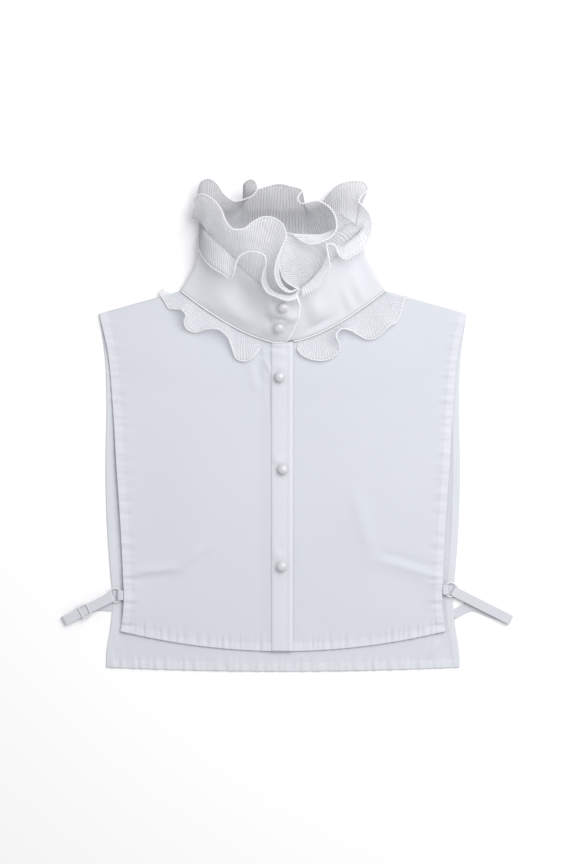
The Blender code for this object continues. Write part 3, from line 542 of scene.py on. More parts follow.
def ripples(place, far, ripple):
    """Uneven small waves along a hem, strongest at its stitching."""
    chance = np.random.default_rng(ripple.seed)
    total = 0.0
    for pitch in ripple.spacing * RIPPLE_PITCHES:
        drift = chance.uniform(0, 2 * np.pi)
        sway = 2 * np.pi * place / (pitch * RIPPLE_SWAY_PITCH) + chance.uniform(0, 2 * np.pi)
        total = total + np.sin(2 * np.pi * place / pitch + drift + RIPPLE_SWAY * np.sin(sway))
    near = np.exp(-(((far - HEM_WIDTH * 0.8) / (HEM_WIDTH * 0.9)) ** 2))
    return ripple.raised + ripple.depth * (total / len(RIPPLE_PITCHES) * near)


def hem_of(far):
    """1 on a hem's folded layers and 0 past its stitching."""
    return 1 - ease((far - HEM_WIDTH + HEM_STEP) / (2 * HEM_STEP))


def back_hem_y(x):
    return BACK_HEM + BACK_HEM_CURVE * (x / BACK_SIDE[0].x) ** 2


def back_height(x, y):
    """The height of the back's underside, its ripples and creases lifting it off the table."""
    hem_far = y - back_hem_y(x)
    side_far = side_x(BACK_SIDE, y) - np.abs(x)
    drawn = np.clip(ripples(x, hem_far, BACK_HEM_RIPPLE), 0, None) * BACK_HEM_LIFT
    sides = np.clip(ripples(y, side_far, BACK_SIDE_RIPPLE), 0, None) * BACK_SIDE_LIFT
    below_shoulder = ease((SHOULDER_CORNER[1] - y) / 20)
    lift = drawn * np.exp(-((hem_far / BACK_RIPPLE_REACH) ** 2)) + sides * below_shoulder
    free = ease((FREE_EDGE + FREE_EDGE_CURVE * (x / BACK_SIDE[0].x) ** 2 - y) / FREE_FADE)
    free_side = ease((np.abs(x) - FREE_SIDE_X) / FREE_SIDE_FADE)
    pleats = creases_at(x, y, BACK_CREASES) * np.maximum(free, free_side)
    lift = lift * np.maximum(free, 1 - ease(side_far / FREE_SIDE_FADE))
    return back_lift(x, y) + (lift + pleats) * BACK_SLACK


hem_share = hem_spacing(BACK_ROWS, SHOULDER_CORNER[1] - BACK_SIDE[0].y)
ys = BACK_SIDE[0].y + hem_share
neck_turns = np.linspace(90, 270, NECK_COLUMNS)
neck = neck_line(neck_turns, NECK_GAP)
corner = np.array([-SHOULDER_CORNER[0], SHOULDER_CORNER[1]])
shoulder_far = hem_spacing(SHOULDER_COLUMNS, np.linalg.norm(neck[0] - corner))[:-1, None]
shoulder = corner + (neck[0] - corner) * shoulder_far / np.linalg.norm(neck[0] - corner)
top = np.concatenate([shoulder, neck, (shoulder * (-1, 1))[::-1]])
half = hem_spacing(SHOULDER_COLUMNS, BACK_SIDE[0].x * SHOULDER_SHARE)[:-1]
centre = np.linspace(-1, 1, NECK_COLUMNS) * (1 - SHOULDER_SHARE) * BACK_SIDE[0].x
hem_x = np.concatenate([half - BACK_SIDE[0].x, centre, (BACK_SIDE[0].x - half)[::-1]])
bottom = np.stack([hem_x, back_hem_y(hem_x)], axis=1)
edge = np.stack([-side_x(BACK_SIDE, ys), ys], axis=1)
plan = patch(bottom, top, edge, edge * (-1, 1), hem_share / hem_share[-1])
x, y = plan[..., 0], plan[..., 1]
folded = np.maximum(hem_of(y - back_hem_y(x)), hem_of(side_x(BACK_SIDE, y) - np.abs(x)))
lower = raised(plan, back_height(x, y))
upper = raised(plan, back_height(x, y) + mix((SINGLE_CLOTH, HEM_CLOTH), folded))
back_mesh = wall_mesh("back", lower, upper, plan, {"folds_and_highlight": folded * BACK_HEM_WHITE})
back = show("back", back_mesh, cotton)
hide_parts("back_panel")

# Fronts: two pieces of the same cotton, each cut with a dart from the side that shapes it. Sides and
# bottom are turned twice and topstitched. The wearer's right front laps over the left.
FRONT_EDGE = 9.0
BAND_EDGE = -12.0
BAND_GAP = 0.9
LAP_BLEND = 16.0
FRONT_HEM = -227.0
FRONT_HEM_CURVE = 20.0
FRONT_LIFT_SPREAD = 1.25
RELIEF_TOP_Y = 95.0
RELIEF_FADE = 70.0
FRONT_ROWS = 150
BAND_COLUMNS = 8
FRONT_NECK_COLUMNS = 54
FRONT_SHOULDER_COLUMNS = 44
FRONT_SHOULDER_SHARE = 0.4
NECK_CROWDING = 1.2
FRONT_SIDE_RIPPLE = Ripple(2.0, 0.0, 8.0, 11)
FRONT_HEM_RIPPLE = Ripple(1.5, 0.0, 6.5, 12)
FRONT_HEM_WHITE = 0.6
FRONT_DRAPE_LIFT = 0.15
FRONT_HEM_LIFT = 0.2
CENTRE_HALF_WIDTH = 10
CENTRE_FADE = 6
FRONT_SIDE = (
    Edge(-207, 162.5),
    Edge(-190, 160.0),
    Edge(-174, 159.0),
    Edge(-149, 160.0),
    Edge(-92, 163.0),
    Edge(-37, 166.7),
    Edge(17, 170.0),
    Edge(74, 175.5),
    Edge(110, 183.5),
)

# A soft swell of the cloth: its centre, half lengths across and along, slant and height.
Swell = namedtuple("Swell", "x y across along slant height")
SWELLS = (
    Swell(-88, -60, 52, 78, 0, 1.6),
    Swell(88, -60, 52, 78, 0, 1.6),
    Swell(-170, -70, 22, 92, 0, 2.0),
    Swell(172, -70, 22, 92, 0, 2.0),
    Swell(-128, -146, 34, 7, 6, 1.5),
    Swell(-92, -134, 24, 6, 38, 1.4),
    Swell(-118, -186, 46, 22, 12, 1.1),
    Swell(126, -146, 34, 7, -16, 1.6),
    Swell(84, -112, 16, 34, 28, 1.2),
    Swell(112, -190, 48, 22, -10, 1.1),
    Swell(-158, -171, 18, 18, 0, 2.0),
    Swell(158, -166, 18, 18, 0, 2.0),
)
FRONT_CREASES = (
    Crease(-162, -150, -96, -143, 2.6, 1.1),
    Crease(-160, -157, -100, -149, 4.0, -0.9),
    Crease(-104, -144, -78, -120, 3.0, 1.0),
    Crease(-98, -150, -70, -126, 4.0, -0.7),
    Crease(166, -156, 92, -134, 1.9, 1.2),
    Crease(164, -148, 88, -126, 4.5, -1.2),
    Crease(90, -136, 70, -60, 7.0, 1.0),
    Crease(-19, 80, -20, 68, 2.0, 1.3),
    Crease(-20, 68, -12, 50, 2.2, 1.3),
    Crease(-27, 64, -20, 36, 3.0, -0.9),
    Crease(-33, 66, -26, 28, 3.5, 0.7),
    Crease(-16, 60, -13, 10, 2.0, -0.5),
    Crease(66, 96, 52, 70, 3.0, 0.6),
    Crease(74, 100, 62, 76, 2.6, -0.4),
)


def relief(x, y):
    """Soft swells of the fronts, which die out at the shoulder and near the neck."""
    total = np.zeros(np.broadcast(x, y).shape)
    for swell in SWELLS:
        cosine = np.cos(np.radians(swell.slant))
        sine = np.sin(np.radians(swell.slant))
        across = ((x - swell.x) * cosine + (y - swell.y) * sine) / swell.across
        along = ((y - swell.y) * cosine - (x - swell.x) * sine) / swell.along
        total = total + swell.height * np.exp(-(across**2) - along**2)
    return total * ease((RELIEF_TOP_Y - y) / RELIEF_FADE)


def lapped(x):
    """1 where the right front laps over the left, and 0 where it has come down beside it."""
    return 1 - ease((-FRONT_EDGE - x) / LAP_BLEND)


def front_top(x, y, over=0.0):
    """The smooth top of a front, as the solid has it: over is 1 on the front that laps over."""
    rest = LAYER + back_lift(x, y, FRONT_LIFT_SPREAD) + relief(x, y)
    return rest + over * LAYER * lapped(x) + CLOTH


def front_hem_y(x):
    return FRONT_HEM + FRONT_HEM_CURVE * (x / FRONT_SIDE[0].x) ** 2


def front_drape(x, y):
    """What creases and puckered hems add to the height of a front."""
    side_far = side_x(FRONT_SIDE, y) - np.abs(x)
    puckers = ripples(y, side_far, FRONT_SIDE_RIPPLE) * ease((SHOULDER_CORNER[1] + 2 - y) / 12)
    puckers = puckers + ripples(x, y - front_hem_y(x), FRONT_HEM_RIPPLE)
    from_centre = np.abs(x - 0.5 * (FRONT_EDGE + BAND_EDGE))
    puckers = puckers * ease((from_centre - CENTRE_HALF_WIDTH) / CENTRE_FADE)
    return creases_at(x, y, FRONT_CREASES) + puckers + FRONT_DRAPE_LIFT


def front_folds(x, y):
    """1 on the hems of a front, where the cloth is folded, and 0 elsewhere."""
    return np.maximum(hem_of(y - front_hem_y(x)), hem_of(side_x(FRONT_SIDE, y) - np.abs(x)))


def front_surface(x, y, over):
    """The top of a front as it is draped."""
    return front_top(x, y, over) + front_drape(x, y) + FRONT_HEM_LIFT * front_folds(x, y)


def add_front(name, side, edge_x, node):
    """A front, from its centre edge to its side and from its hem to neck and shoulder."""
    hem_far = hem_spacing(FRONT_ROWS, SHOULDER_CORNER[1] - FRONT_SIDE[0].y)
    ys = FRONT_SIDE[0].y + hem_far
    first_turn = -np.degrees(np.arcsin(edge_x / (NECK_HALF_WIDTH + NECK_FLARE)))
    band_turn = -np.degrees(np.arcsin(side * -BAND_EDGE / (NECK_HALF_WIDTH + NECK_FLARE)))
    neck_share = np.linspace(0, 1, FRONT_NECK_COLUMNS) ** NECK_CROWDING
    neck_turns = band_turn + (-90.0 * side - band_turn) * neck_share
    turns = np.concatenate([np.linspace(first_turn, band_turn, BAND_COLUMNS), neck_turns[1:]])
    over = (side < 0) * BAND_GAP * lapped(neck_line(turns, 0.0)[:, 0])
    neck = neck_line(turns, NECK_GAP, over)
    corner = np.array([side * SHOULDER_CORNER[0], SHOULDER_CORNER[1]])
    length = np.linalg.norm(neck[-1] - corner)
    far = hem_spacing(FRONT_SHOULDER_COLUMNS, length)[:-1, None] / length
    shoulder = (corner + (neck[-1] - corner) * far)[::-1]
    top = np.concatenate([neck, shoulder])
    band_x = np.linspace(edge_x, side * -BAND_EDGE, BAND_COLUMNS)
    hem_half = hem_spacing(FRONT_SHOULDER_COLUMNS, FRONT_SIDE[0].x * FRONT_SHOULDER_SHARE)[:-1]
    outer = side * (FRONT_SIDE[0].x - hem_half)[::-1]
    meeting = side * FRONT_SIDE[0].x * (1 - FRONT_SHOULDER_SHARE)
    inner = np.linspace(band_x[-1], meeting, FRONT_NECK_COLUMNS)[1:]
    hem_x = np.concatenate([band_x, inner, outer])
    bottom = np.stack([hem_x, front_hem_y(hem_x)], axis=1)
    share = hem_far / hem_far[-1]
    left = bottom[0] + (top[0] - bottom[0]) * share[:, None]
    plan = patch(bottom, top, left, np.stack([side * side_x(FRONT_SIDE, ys), ys], axis=1), share)
    x, y = plan[..., 0], plan[..., 1]
    folded = front_folds(x, y)
    height = front_surface(x, y, float(side < 0))
    lower = raised(plan, height - mix((SINGLE_CLOTH, HEM_CLOTH), folded))
    mesh = wall_mesh(name, lower, raised(plan, height), plan, {"folds_and_highlight": folded * FRONT_HEM_WHITE})
    front = show(name, mesh, cotton)
    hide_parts(node)


add_front("front_left_cloth", 1, -FRONT_EDGE, "front_left")
add_front("front_right_cloth", -1, FRONT_EDGE, "front_right")

# Button band: a strip of the same cotton folded in four and stitched down the edge of the wearer's right
# front, whose own edge is rolled, so it shows whiter and stiffer than the cloth beside it. The rolled edge
# is painted paler still, partly for its extra cloth and partly as a painted highlight where it faces the
# lamp.
SEAM_GAP = 0.3
BAND_COLUMN_X = (9.6, 9.2, 8.5, 7.6, 6.7, 5.7, 4.8, 3.0, 0.5, -2.5, -5.5, -8.5, -10.6, -11.3, -12.0)
BAND_PROFILE = (-0.6, -0.1, 0.25, 0.35, 0.3, 0.1, -0.3, -0.1, 0.02, 0.03, 0.02, 0.0, -0.2, -0.55, -1.0)
BAND_ROWS = 190
BAND_CLEARANCE = 0.22
BAND_LEAST_CLOTH = 0.2
BAND_PUCKER = 0.10
BAND_PUCKER_PITCH = 3.1
BAND_SEAM_X = 4.8
BAND_SEAM_HALF_WIDTH = 3
BAND_WHITE = 0.35
# Where the band's rolled edge begins, and how much paler it is painted: partly its extra cloth, partly a
# painted highlight where it faces the lamp.
ROLLED_EDGE_X = 4.9
ROLLED_EDGE_FOLDS_AND_HIGHLIGHT = 0.5
# A pull or dent of the band, where it is buttoned or turned in at the neck.
BandPull = namedtuple("BandPull", "x y half_width half_length height")
BAND_PULLS = (
    BandPull(-7, 75.0, 8, 1.9, -1.1),
    BandPull(-5, 78.6, 7, 1.6, 0.9),
    BandPull(-3, 70, 6, 3.2, 1.2),
    BandPull(-8, 47, 3, 6, -0.5),
    BandPull(-3, 57, 5, 3.5, 0.9),
    BandPull(-6.5, -45, 3, 5, -0.9),
    BandPull(-6, -36, 4, 4.5, 1.4),
    BandPull(-8, -142, 3, 4, -1.0),
    BandPull(-6, -131, 3.5, 5, 1.5),
    BandPull(-3, -151, 5, 3, 0.4),
)


def band_plan(columns, rows):
    """Plan grid of the strip of the right front that carries the buttons."""
    turns = -np.degrees(np.arcsin(np.array(columns) / (NECK_HALF_WIDTH + NECK_FLARE)))
    top = neck_line(turns, NECK_GAP, BAND_GAP * lapped(neck_line(turns, 0.0)[:, 0]))
    low = np.stack([np.array(columns), front_hem_y(np.array(columns))], axis=1)
    share = np.linspace(0, 1, rows)[:, None, None]
    return low + (top - low) * share


def band_height(x, y):
    """Top of the band before its rolled edge is raised: it lies on the front and is a little wavy."""
    wave = 0.12 * np.sin(y / 7.0) * np.sin(y / 17.0 + 1.0) + 0.1 * np.sin(y / 31.0)
    for pull in BAND_PULLS:
        bell = np.exp(-(((x - pull.x) / pull.half_width) ** 2) - ((y - pull.y) / pull.half_length) ** 2)
        wave = wave + pull.height * bell
    return front_top(x, y, 1.0) + LAYER + wave


plan = band_plan(BAND_COLUMN_X, BAND_ROWS)
x, y = plan[..., 0], plan[..., 1]
puckers = BAND_PUCKER * np.sin(y * 2 * np.pi / BAND_PUCKER_PITCH + np.sin(y / 5.0))
puckers = puckers * (np.abs(x - BAND_SEAM_X) < BAND_SEAM_HALF_WIDTH)
upper = band_height(x, y) + np.array(BAND_PROFILE) + puckers
lower = front_top(x, y, 1.0) + front_drape(x, y) + BAND_CLEARANCE
lower = np.minimum(lower, upper - BAND_LEAST_CLOTH)
# The band is paler for its folds, and its rolled edge paler still: partly its extra cloth, partly a painted
# highlight.
folds_and_highlight = BAND_WHITE + ROLLED_EDGE_FOLDS_AND_HIGHLIGHT * (x > ROLLED_EDGE_X)
band_mesh = wall_mesh("band", raised(plan, lower), raised(plan, upper), plan, {"folds_and_highlight": folds_and_highlight})
band = show("front_band", band_mesh, cotton)
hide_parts("button_band")

# Rim ruffles: two strips of sheer white organza, pressed into fine upright pleats, gathered on to the
# collar's rim and left to fall in deep waves. Each free edge is a narrow rolled hem over a thread.
RIM_GAP = 0.4
RUFFLE_SPACING = 0.65
UPPER_RUFFLE_HEIGHT = 60.0
LOWER_RUFFLE_HEIGHT = 38.0
ROOT_STIFFNESS = 0.18
EDGE_STIFFNESS = 0.25
RIB_LEAN = 0.45
VIEW_CENTRE = np.array([5.0, -8.0])
VIEW_HEIGHT = 3000.0
ORGANZA = 0.24
PLEAT_STEPS = 6
PLEAT_WIDTH = 3.1
PLEAT_DEPTH = 0.5
HEM_RADIUS = 0.62
HEM_SIDES = 7
HEM_WAVE = 0.9
ORGANZA_EDGE_SHARE = 0.6
UPPER_ROWS = 14
LOWER_ROWS = 12
COARSE_POINTS = 400
CORD_END_ANGLE = 60
RUFFLE_UNDER_END = 347.0
# Pleats are shallower at the root, where the gathers hold them, by this share up to this rise.
ROOT_FULLNESS = 0.75
ROOT_RISE = 0.25

# A fold of a ruffle: the turn at which it is sewn to the rim, and a point of its free edge.
Fold = namedtuple("Fold", "turn x y z")
UPPER_FOLDS = (
    Fold(-10, 14, 135, 41),
    Fold(-7.5, 6, 132, 51),
    Fold(-5, -3, 137, 60),
    Fold(-2, -8, 148, 67),
    Fold(1, -7, 162, 71),
    Fold(4, -2, 175, 72),
    Fold(8, 3, 188, 72),
    Fold(12, 0, 199, 70),
    Fold(17, -9, 206, 68),
    Fold(22, -20, 207, 68),
    Fold(27, -30, 202, 70),
    Fold(32, -40, 195, 72),
    Fold(38, -50, 195, 72),
    Fold(44, -57, 203, 68),
    Fold(50, -62, 215, 62),
    Fold(56, -71, 225, 56),
    Fold(62, -82, 230, 48),
    Fold(67, -89, 225, 38),
    Fold(72, -91, 213, 30),
    Fold(77, -91, 207, 22),
    Fold(82, -91, 208, 15),
    Fold(88, -89, 217, 11),
    Fold(93, -86, 230, 12),
    Fold(97, -81, 243, 18),
    Fold(102, -73, 245, 22),
    Fold(106, -66, 240, 24),
    Fold(111, -59, 230, 26),
    Fold(117, -49, 223, 30),
    Fold(123, -38, 225, 34),
    Fold(129, -29, 230, 38),
    Fold(134, -25.5, 236.5, 40),
    Fold(138, -27, 241.5, 38),
    Fold(142, -32, 244.5, 34),
    Fold(146, -37.5, 242, 29),
    Fold(150, -39.5, 236.5, 22),
    Fold(154, -36, 232, 16),
    Fold(159, -27, 234, 13),
    Fold(166, -17, 237, 15),
    Fold(174, -5, 240, 20),
    Fold(187, 7, 238, 28),
    Fold(198, 19, 234, 34),
    Fold(205, 15, 227, 44),
    Fold(212, 17, 221, 52),
    Fold(222, 35, 223, 58),
    Fold(234, 47, 216, 62),
    Fold(248, 53, 205, 62),
    Fold(264, 53, 194, 62),
    Fold(280, 38, 182, 66),
    Fold(292, 27, 180, 67),
    Fold(304, 19, 183, 65),
    Fold(316, 9, 190, 62),
    Fold(326, 3, 190, 59),
    Fold(332, 0, 184, 59),
    Fold(337, -3, 171, 58),
    Fold(340.5, -3, 157, 56),
    Fold(343.5, 1, 145, 51),
    Fold(RUFFLE_UNDER_END, 16, 134, 42),
)
LOWER_FOLDS = (
    Fold(-9.5, 14, 126, 41.5),
    Fold(-6, 5, 123.5, 46),
    Fold(-2, -6, 127, 50),
    Fold(2, -16, 132, 50),
    Fold(6, -21, 141, 52),
    Fold(10, -20, 151, 56),
    Fold(14, -17, 161, 60),
    Fold(18, -19, 169, 62),
    Fold(23, -27, 172, 62),
    Fold(27, -36, 172, 60),
    Fold(32, -43, 168, 58),
    Fold(36, -47, 160, 56),
    Fold(40, -49, 151, 53),
    Fold(46, -53, 145, 47),
    Fold(54, -60, 150, 42),
    Fold(61, -70, 156, 36),
    Fold(69, -78, 164, 28),
    Fold(76, -83, 173, 19),
    Fold(83, -84.5, 182, 12),
    Fold(90, -84.5, 192, 7),
    Fold(96, -84, 202, 4),
    Fold(101, -82, 210, 3),
    Fold(107, -75, 214, 3),
    Fold(117, -62, 216, 7),
    Fold(127, -50, 213, 5),
    Fold(138, -38, 215, 4),
    Fold(149, -26, 214, 6),
    Fold(160, -14, 215, 4),
    Fold(171, -2, 213, 6),
    Fold(182, 10, 215, 4),
    Fold(193, 22, 214, 6),
    Fold(205, 34, 218, 6),
    Fold(215, 42, 226, 10),
    Fold(223, 48, 233, 16),
    Fold(230, 57, 240, 22),
    Fold(236, 69, 243, 24),
    Fold(241, 82, 241, 24),
    Fold(245, 85, 235, 25),
    Fold(249, 79, 229, 28),
    Fold(253, 76, 222, 32),
    Fold(258, 81, 217, 35),
    Fold(264, 87, 209, 36),
    Fold(271, 89, 198, 36),
    Fold(279, 86, 186, 36),
    Fold(287, 80, 176, 38),
    Fold(295, 71, 169, 42),
    Fold(302, 62, 165, 46),
    Fold(308, 56, 169, 51),
    Fold(314, 51, 179, 56),
    Fold(320, 44, 180, 60),
    Fold(327, 45, 170, 60),
    Fold(333, 47, 158, 58),
    Fold(337, 44, 148, 54),
    Fold(340, 37, 138, 48),
    Fold(343.5, 28, 133, 43),
    Fold(RUFFLE_UNDER_END, 19, 128, 39),
)


def as_seen(folds):
    """The folds with their edges drawn in to allow for a view from above at a finite height."""
    rows = np.array(folds, float)
    nearer = 1 - rows[:, 3:] / VIEW_HEIGHT
    rows[:, 1:3] = VIEW_CENTRE + (rows[:, 1:3] - VIEW_CENTRE) * nearer
    return rows


def ribs(roots, directions, edges, height, rows):
    """Grid of points on curved ribs from the sewn line to the free edge of a ruffle."""
    reach = np.linalg.norm(edges - roots, axis=1)
    bulge = np.minimum(ROOT_STIFFNESS * height + EDGE_STIFFNESS * reach, reach / 2)[:, None]
    middles = roots + unit(directions + RIB_LEAN * unit(edges - roots)) * bulge
    t = np.linspace(0, 1, rows)[:, None, None]
    return (1 - t) ** 2 * roots + 2 * t * (1 - t) * middles + t**2 * edges


def length_of(points):
    return np.linalg.norm(np.diff(points, axis=0), axis=1).sum()


def link_all(tree, links):
    """Links output sockets to input sockets, in pairs."""
    for output, target in links:
        tree.links.new(output, target)


def new_tree(name, inputs):
    """A Geometry Nodes tree with a geometry input and the named inputs given, each with its kind."""
    tree = bpy.data.node_groups.new(name, "GeometryNodeTree")
    tree.interface.new_socket("Geometry", in_out="INPUT", socket_type="NodeSocketGeometry")
    for key, kind in inputs:
        tree.interface.new_socket(key, in_out="INPUT", socket_type=kind)
    tree.interface.new_socket("Geometry", in_out="OUTPUT", socket_type="NodeSocketGeometry")
    return tree, tree.nodes.new("NodeGroupInput").outputs


def end_tree(tree, geometry, material):
    """Ends a tree in Realize Instances and Set Material."""
    realize = tree.nodes.new("GeometryNodeRealizeInstances")
    paint = tree.nodes.new("GeometryNodeSetMaterial")
    out = tree.nodes.new("NodeGroupOutput")
    link_all(
        tree,
        (
            (geometry, realize.inputs["Geometry"]),
            (realize.outputs["Geometry"], paint.inputs["Geometry"]),
            (material, paint.inputs["Material"]),
            (paint.outputs["Geometry"], out.inputs["Geometry"]),
        ),
    )


def grown(name, mesh, tree, values):
    """The plain mesh that a tree makes of a mesh, its inputs set by their sockets' identifiers."""
    source = placed(name + "_source", mesh)
    modifier = source.modifiers.new(name, "NODES")
    modifier.node_group = tree
    for item in tree.interface.items_tree:
        if item.in_out == "INPUT" and item.name in values:
            modifier[item.identifier] = values[item.name]
    evaluated = source.evaluated_get(bpy.context.evaluated_depsgraph_get())
    made = bpy.data.meshes.new_from_object(evaluated)
    made.name = name
    source.modifiers.remove(modifier)
    bpy.data.objects.remove(source)
    return made


def attribute_of(tree, name, kind):
    """The output of a Named Attribute node."""
    node = tree.nodes.new("GeometryNodeInputNamedAttribute")
    node.data_type = kind
    node.inputs["Name"].default_value = name
    return node.outputs["Attribute"]


def pleat_tree():
    """Pushes a sheet in and out along its own direction as its pleats' count goes by."""
    tree, given = new_tree(
        "press_pleats", (("Depth", "NodeSocketFloat"), ("Material", "NodeSocketMaterial"))
    )
    pleat = attribute_of(tree, "pleat", "FLOAT")
    wave = math_node(tree, "SINE", math_node(tree, "MULTIPLY", pleat, 2 * np.pi))
    depth = math_node(tree, "MULTIPLY", attribute_of(tree, "fullness", "FLOAT"), given["Depth"])
    scale = tree.nodes.new("ShaderNodeVectorMath")
    scale.operation = "SCALE"
    place = tree.nodes.new("GeometryNodeSetPosition")
    link_all(
        tree,
        (
            (attribute_of(tree, "outward", "FLOAT_VECTOR"), scale.inputs[0]),
            (math_node(tree, "MULTIPLY", wave, depth), scale.inputs["Scale"]),
            (scale.outputs[0], place.inputs["Offset"]),
            (given["Geometry"], place.inputs["Geometry"]),
        ),
    )
    end_tree(tree, place.outputs["Geometry"], given["Material"])
    return tree


def cord_tree():
    """Lays a round cord along the edges of a line."""
    tree, given = new_tree(
        "lay_cord",
        (
            ("Radius", "NodeSocketFloat"),
            ("Sides", "NodeSocketInt"),
            ("Material", "NodeSocketMaterial"),
        ),
    )
    line = tree.nodes.new("GeometryNodeMeshToCurve")
    ring = tree.nodes.new("GeometryNodeCurvePrimitiveCircle")
    tube = tree.nodes.new("GeometryNodeCurveToMesh")
    tube.inputs["Fill Caps"].default_value = True
    link_all(
        tree,
        (
            (given["Geometry"], line.inputs["Mesh"]),
            (given["Sides"], ring.inputs["Resolution"]),
            (given["Radius"], ring.inputs["Radius"]),
            (line.outputs["Curve"], tube.inputs["Curve"]),
            (ring.outputs["Curve"], tube.inputs["Profile Curve"]),
        ),
    )
    end_tree(tree, tube.outputs["Mesh"], given["Material"])
    return tree


def line_mesh(name, points):
    """A mesh of one open line through the points."""
    mesh = bpy.data.meshes.new(name)
    pairs = [(i, i + 1) for i in range(len(points) - 1)]
    mesh.from_pydata((points * MM).tolist(), pairs, [])
    return mesh


def laid_cord(name, points, radius, sides, material):
    """A piece of round cord along the points."""
    values = {"Radius": radius * MM, "Sides": sides, "Material": material}
    mesh = grown(name, line_mesh(name + "_line", points), lay_cord, values)
    mesh.shade_smooth()
    mesh.set_sharp_from_angle(angle=np.radians(CORD_END_ANGLE))
    return show(name, mesh)


ORGANZA_COLOUR = (0.95, 0.955, 0.98)
ORGANZA_ROUGHNESS = 0.55
ORGANZA_COVER = 0.31
ORGANZA_GLOW = 0.55
CREST_COVER = 0.36
CREST_SHARPNESS = 3.0
COVER_CLOUD_SCALE = 60.0
COVER_CLOUD = 0.3


def sheer_organza():
    """Sheer white organza: see-through, and denser along the crests of its pleats."""
    material, shader = plain_shader("pleated_organza", ORGANZA_COLOUR, ORGANZA_ROUGHNESS)
    tree = material.node_tree
    wave = math_node(tree, "SINE", math_node(tree, "MULTIPLY", value_node(tree, "pleat"), 2 * np.pi))
    crest = math_node(tree, "MULTIPLY", math_node(tree, "ADD", wave, 1.0), 0.5)
    ridge = math_node(tree, "POWER", crest, CREST_SHARPNESS)
    ridge = math_node(tree, "MULTIPLY", ridge, value_node(tree, "fullness"))
    cloud = math_node(tree, "SUBTRACT", noise_node(tree, COVER_CLOUD_SCALE, 3.0), 0.5)
    uneven = math_node(tree, "MULTIPLY", cloud, COVER_CLOUD)
    dense = math_node(tree, "ADD", math_node(tree, "MULTIPLY", ridge, CREST_COVER), uneven)
    alpha = clamp_node(tree, math_node(tree, "ADD", dense, ORGANZA_COVER))
    # Painted shade and light: the organza's colour is scaled towards black by a value carried at the
    # points.
    shade = mixed_colour(tree, value_node(tree, "painted_light"), (0.0, 0.0, 0.0), ORGANZA_COLOUR)
    glow = tree.nodes.new("ShaderNodeBsdfTranslucent")
    both = tree.nodes.new("ShaderNodeMixShader")
    link_all(
        tree,
        (
            (shade, shader.inputs["Base Color"]),
            (alpha, shader.inputs["Alpha"]),
            (shade, glow.inputs["Color"]),
            (math_node(tree, "MULTIPLY", alpha, ORGANZA_GLOW), both.inputs["Fac"]),
            (shader.outputs["BSDF"], both.inputs[1]),
            (glow.outputs["BSDF"], both.inputs[2]),
            (both.outputs["Shader"], tree.nodes["Material Output"].inputs["Surface"]),
        ),
    )
    shader.inputs["Sheen Weight"].default_value = 0.15
    shader.inputs["Specular IOR Level"].default_value = 0.3
    return material


THREAD_ROUGHNESS = 0.6
THREAD_GROOVE = 0.1


def thread_white(name, colour, thread):
    """Twisted white thread of a given thickness, its turns a fine unevenness of the surface."""
    material, shader = plain_shader(name, colour, THREAD_ROUGHNESS)
    tree = material.node_tree
    twist = noise_node(tree, 1.0 / (thread * MM), 1.0)
    tree.links.new(bump_node(tree, twist, THREAD_GROOVE * MM, 0.5), shader.inputs["Normal"])
    shader.inputs["Sheen Weight"].default_value = 0.1
    return material


def pleated_path(folds):
    """How many pleats the folds' free edge takes, and its path with the same steps in each pleat."""
    seen = as_seen(folds)
    count = int(length_of(smooth_path(seen, COARSE_POINTS)[:, 1:]) / PLEAT_WIDTH)
    return count, smooth_path(seen, count * PLEAT_STEPS + 1)


def add_ruffle(name, grid, directions, count, depth, node, painted_light=1.0, full=1.0):
    """A pleated ruffle about a grid of its middle, with its hem laid along the last row."""
    rows, columns = grid.shape[:2]
    shift = directions * ORGANZA / 2 * border_share((rows, columns), ORGANZA_EDGE_SHARE)
    rise = np.linspace(0, 1, rows)[:, None]
    pleat = np.broadcast_to(np.linspace(0, count, columns), (rows, columns))
    fullness = ROOT_FULLNESS + (1 - ROOT_FULLNESS) * ease(rise / ROOT_RISE)
    fullness = fullness * full * np.ones((1, columns))
    # The value that scales the colour for painted shade and light.
    painted_light = painted_light * np.ones((rows, columns))
    values = {"pleat": pleat, "fullness": fullness, "outward": directions, "painted_light": painted_light}
    uv = np.stack([pleat * PLEAT_WIDTH, lengths_along(grid, 0)], axis=-1)
    mesh = wall_mesh(name + "_plain", grid - shift, grid + shift, uv, values)
    pressed = grown(name, mesh, press_pleats, {"Depth": depth * MM, "Material": organza})
    pressed.shade_smooth()
    ruffle = show(name, pressed)
    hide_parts(node)
    wave = np.sin(2 * np.pi * pleat[-1])[:, None]
    edge = grid[-1] + directions[-1] * wave * depth * HEM_WAVE * fullness[-1][:, None]
    hem = laid_cord(name + "_hem", edge, HEM_RADIUS, HEM_SIDES, hem_thread)


organza = sheer_organza()
hem_thread = thread_white("rolled_hem", (0.80, 0.80, 0.82), 0.5)
press_pleats = pleat_tree()
lay_cord = cord_tree()

# The pleats are pulled nearly flat where the folds cross at the front. The cloth's colour carries painted
# shade that changes with the turn round the rim, darkest from the wearer's right side round the back, and
# painted light near the root, where the collar's hollow lies in shade.
FLAT_TURN = 334.0
FLAT_REACH = 9.0
FLATTENED = 0.75
PAINTED_LIGHT_TURNS = (0, 50, 66, 80, 110, 160, 215, 250, 290, 347)
PAINTED_LIGHT_LEVELS = (1.0, 1.0, 0.88, 0.72, 0.64, 0.66, 0.72, 0.82, 0.98, 1.0)
ROOT_PAINTED_LIGHT = 0.36
ROOT_PAINTED_LIGHT_RISE = 0.8


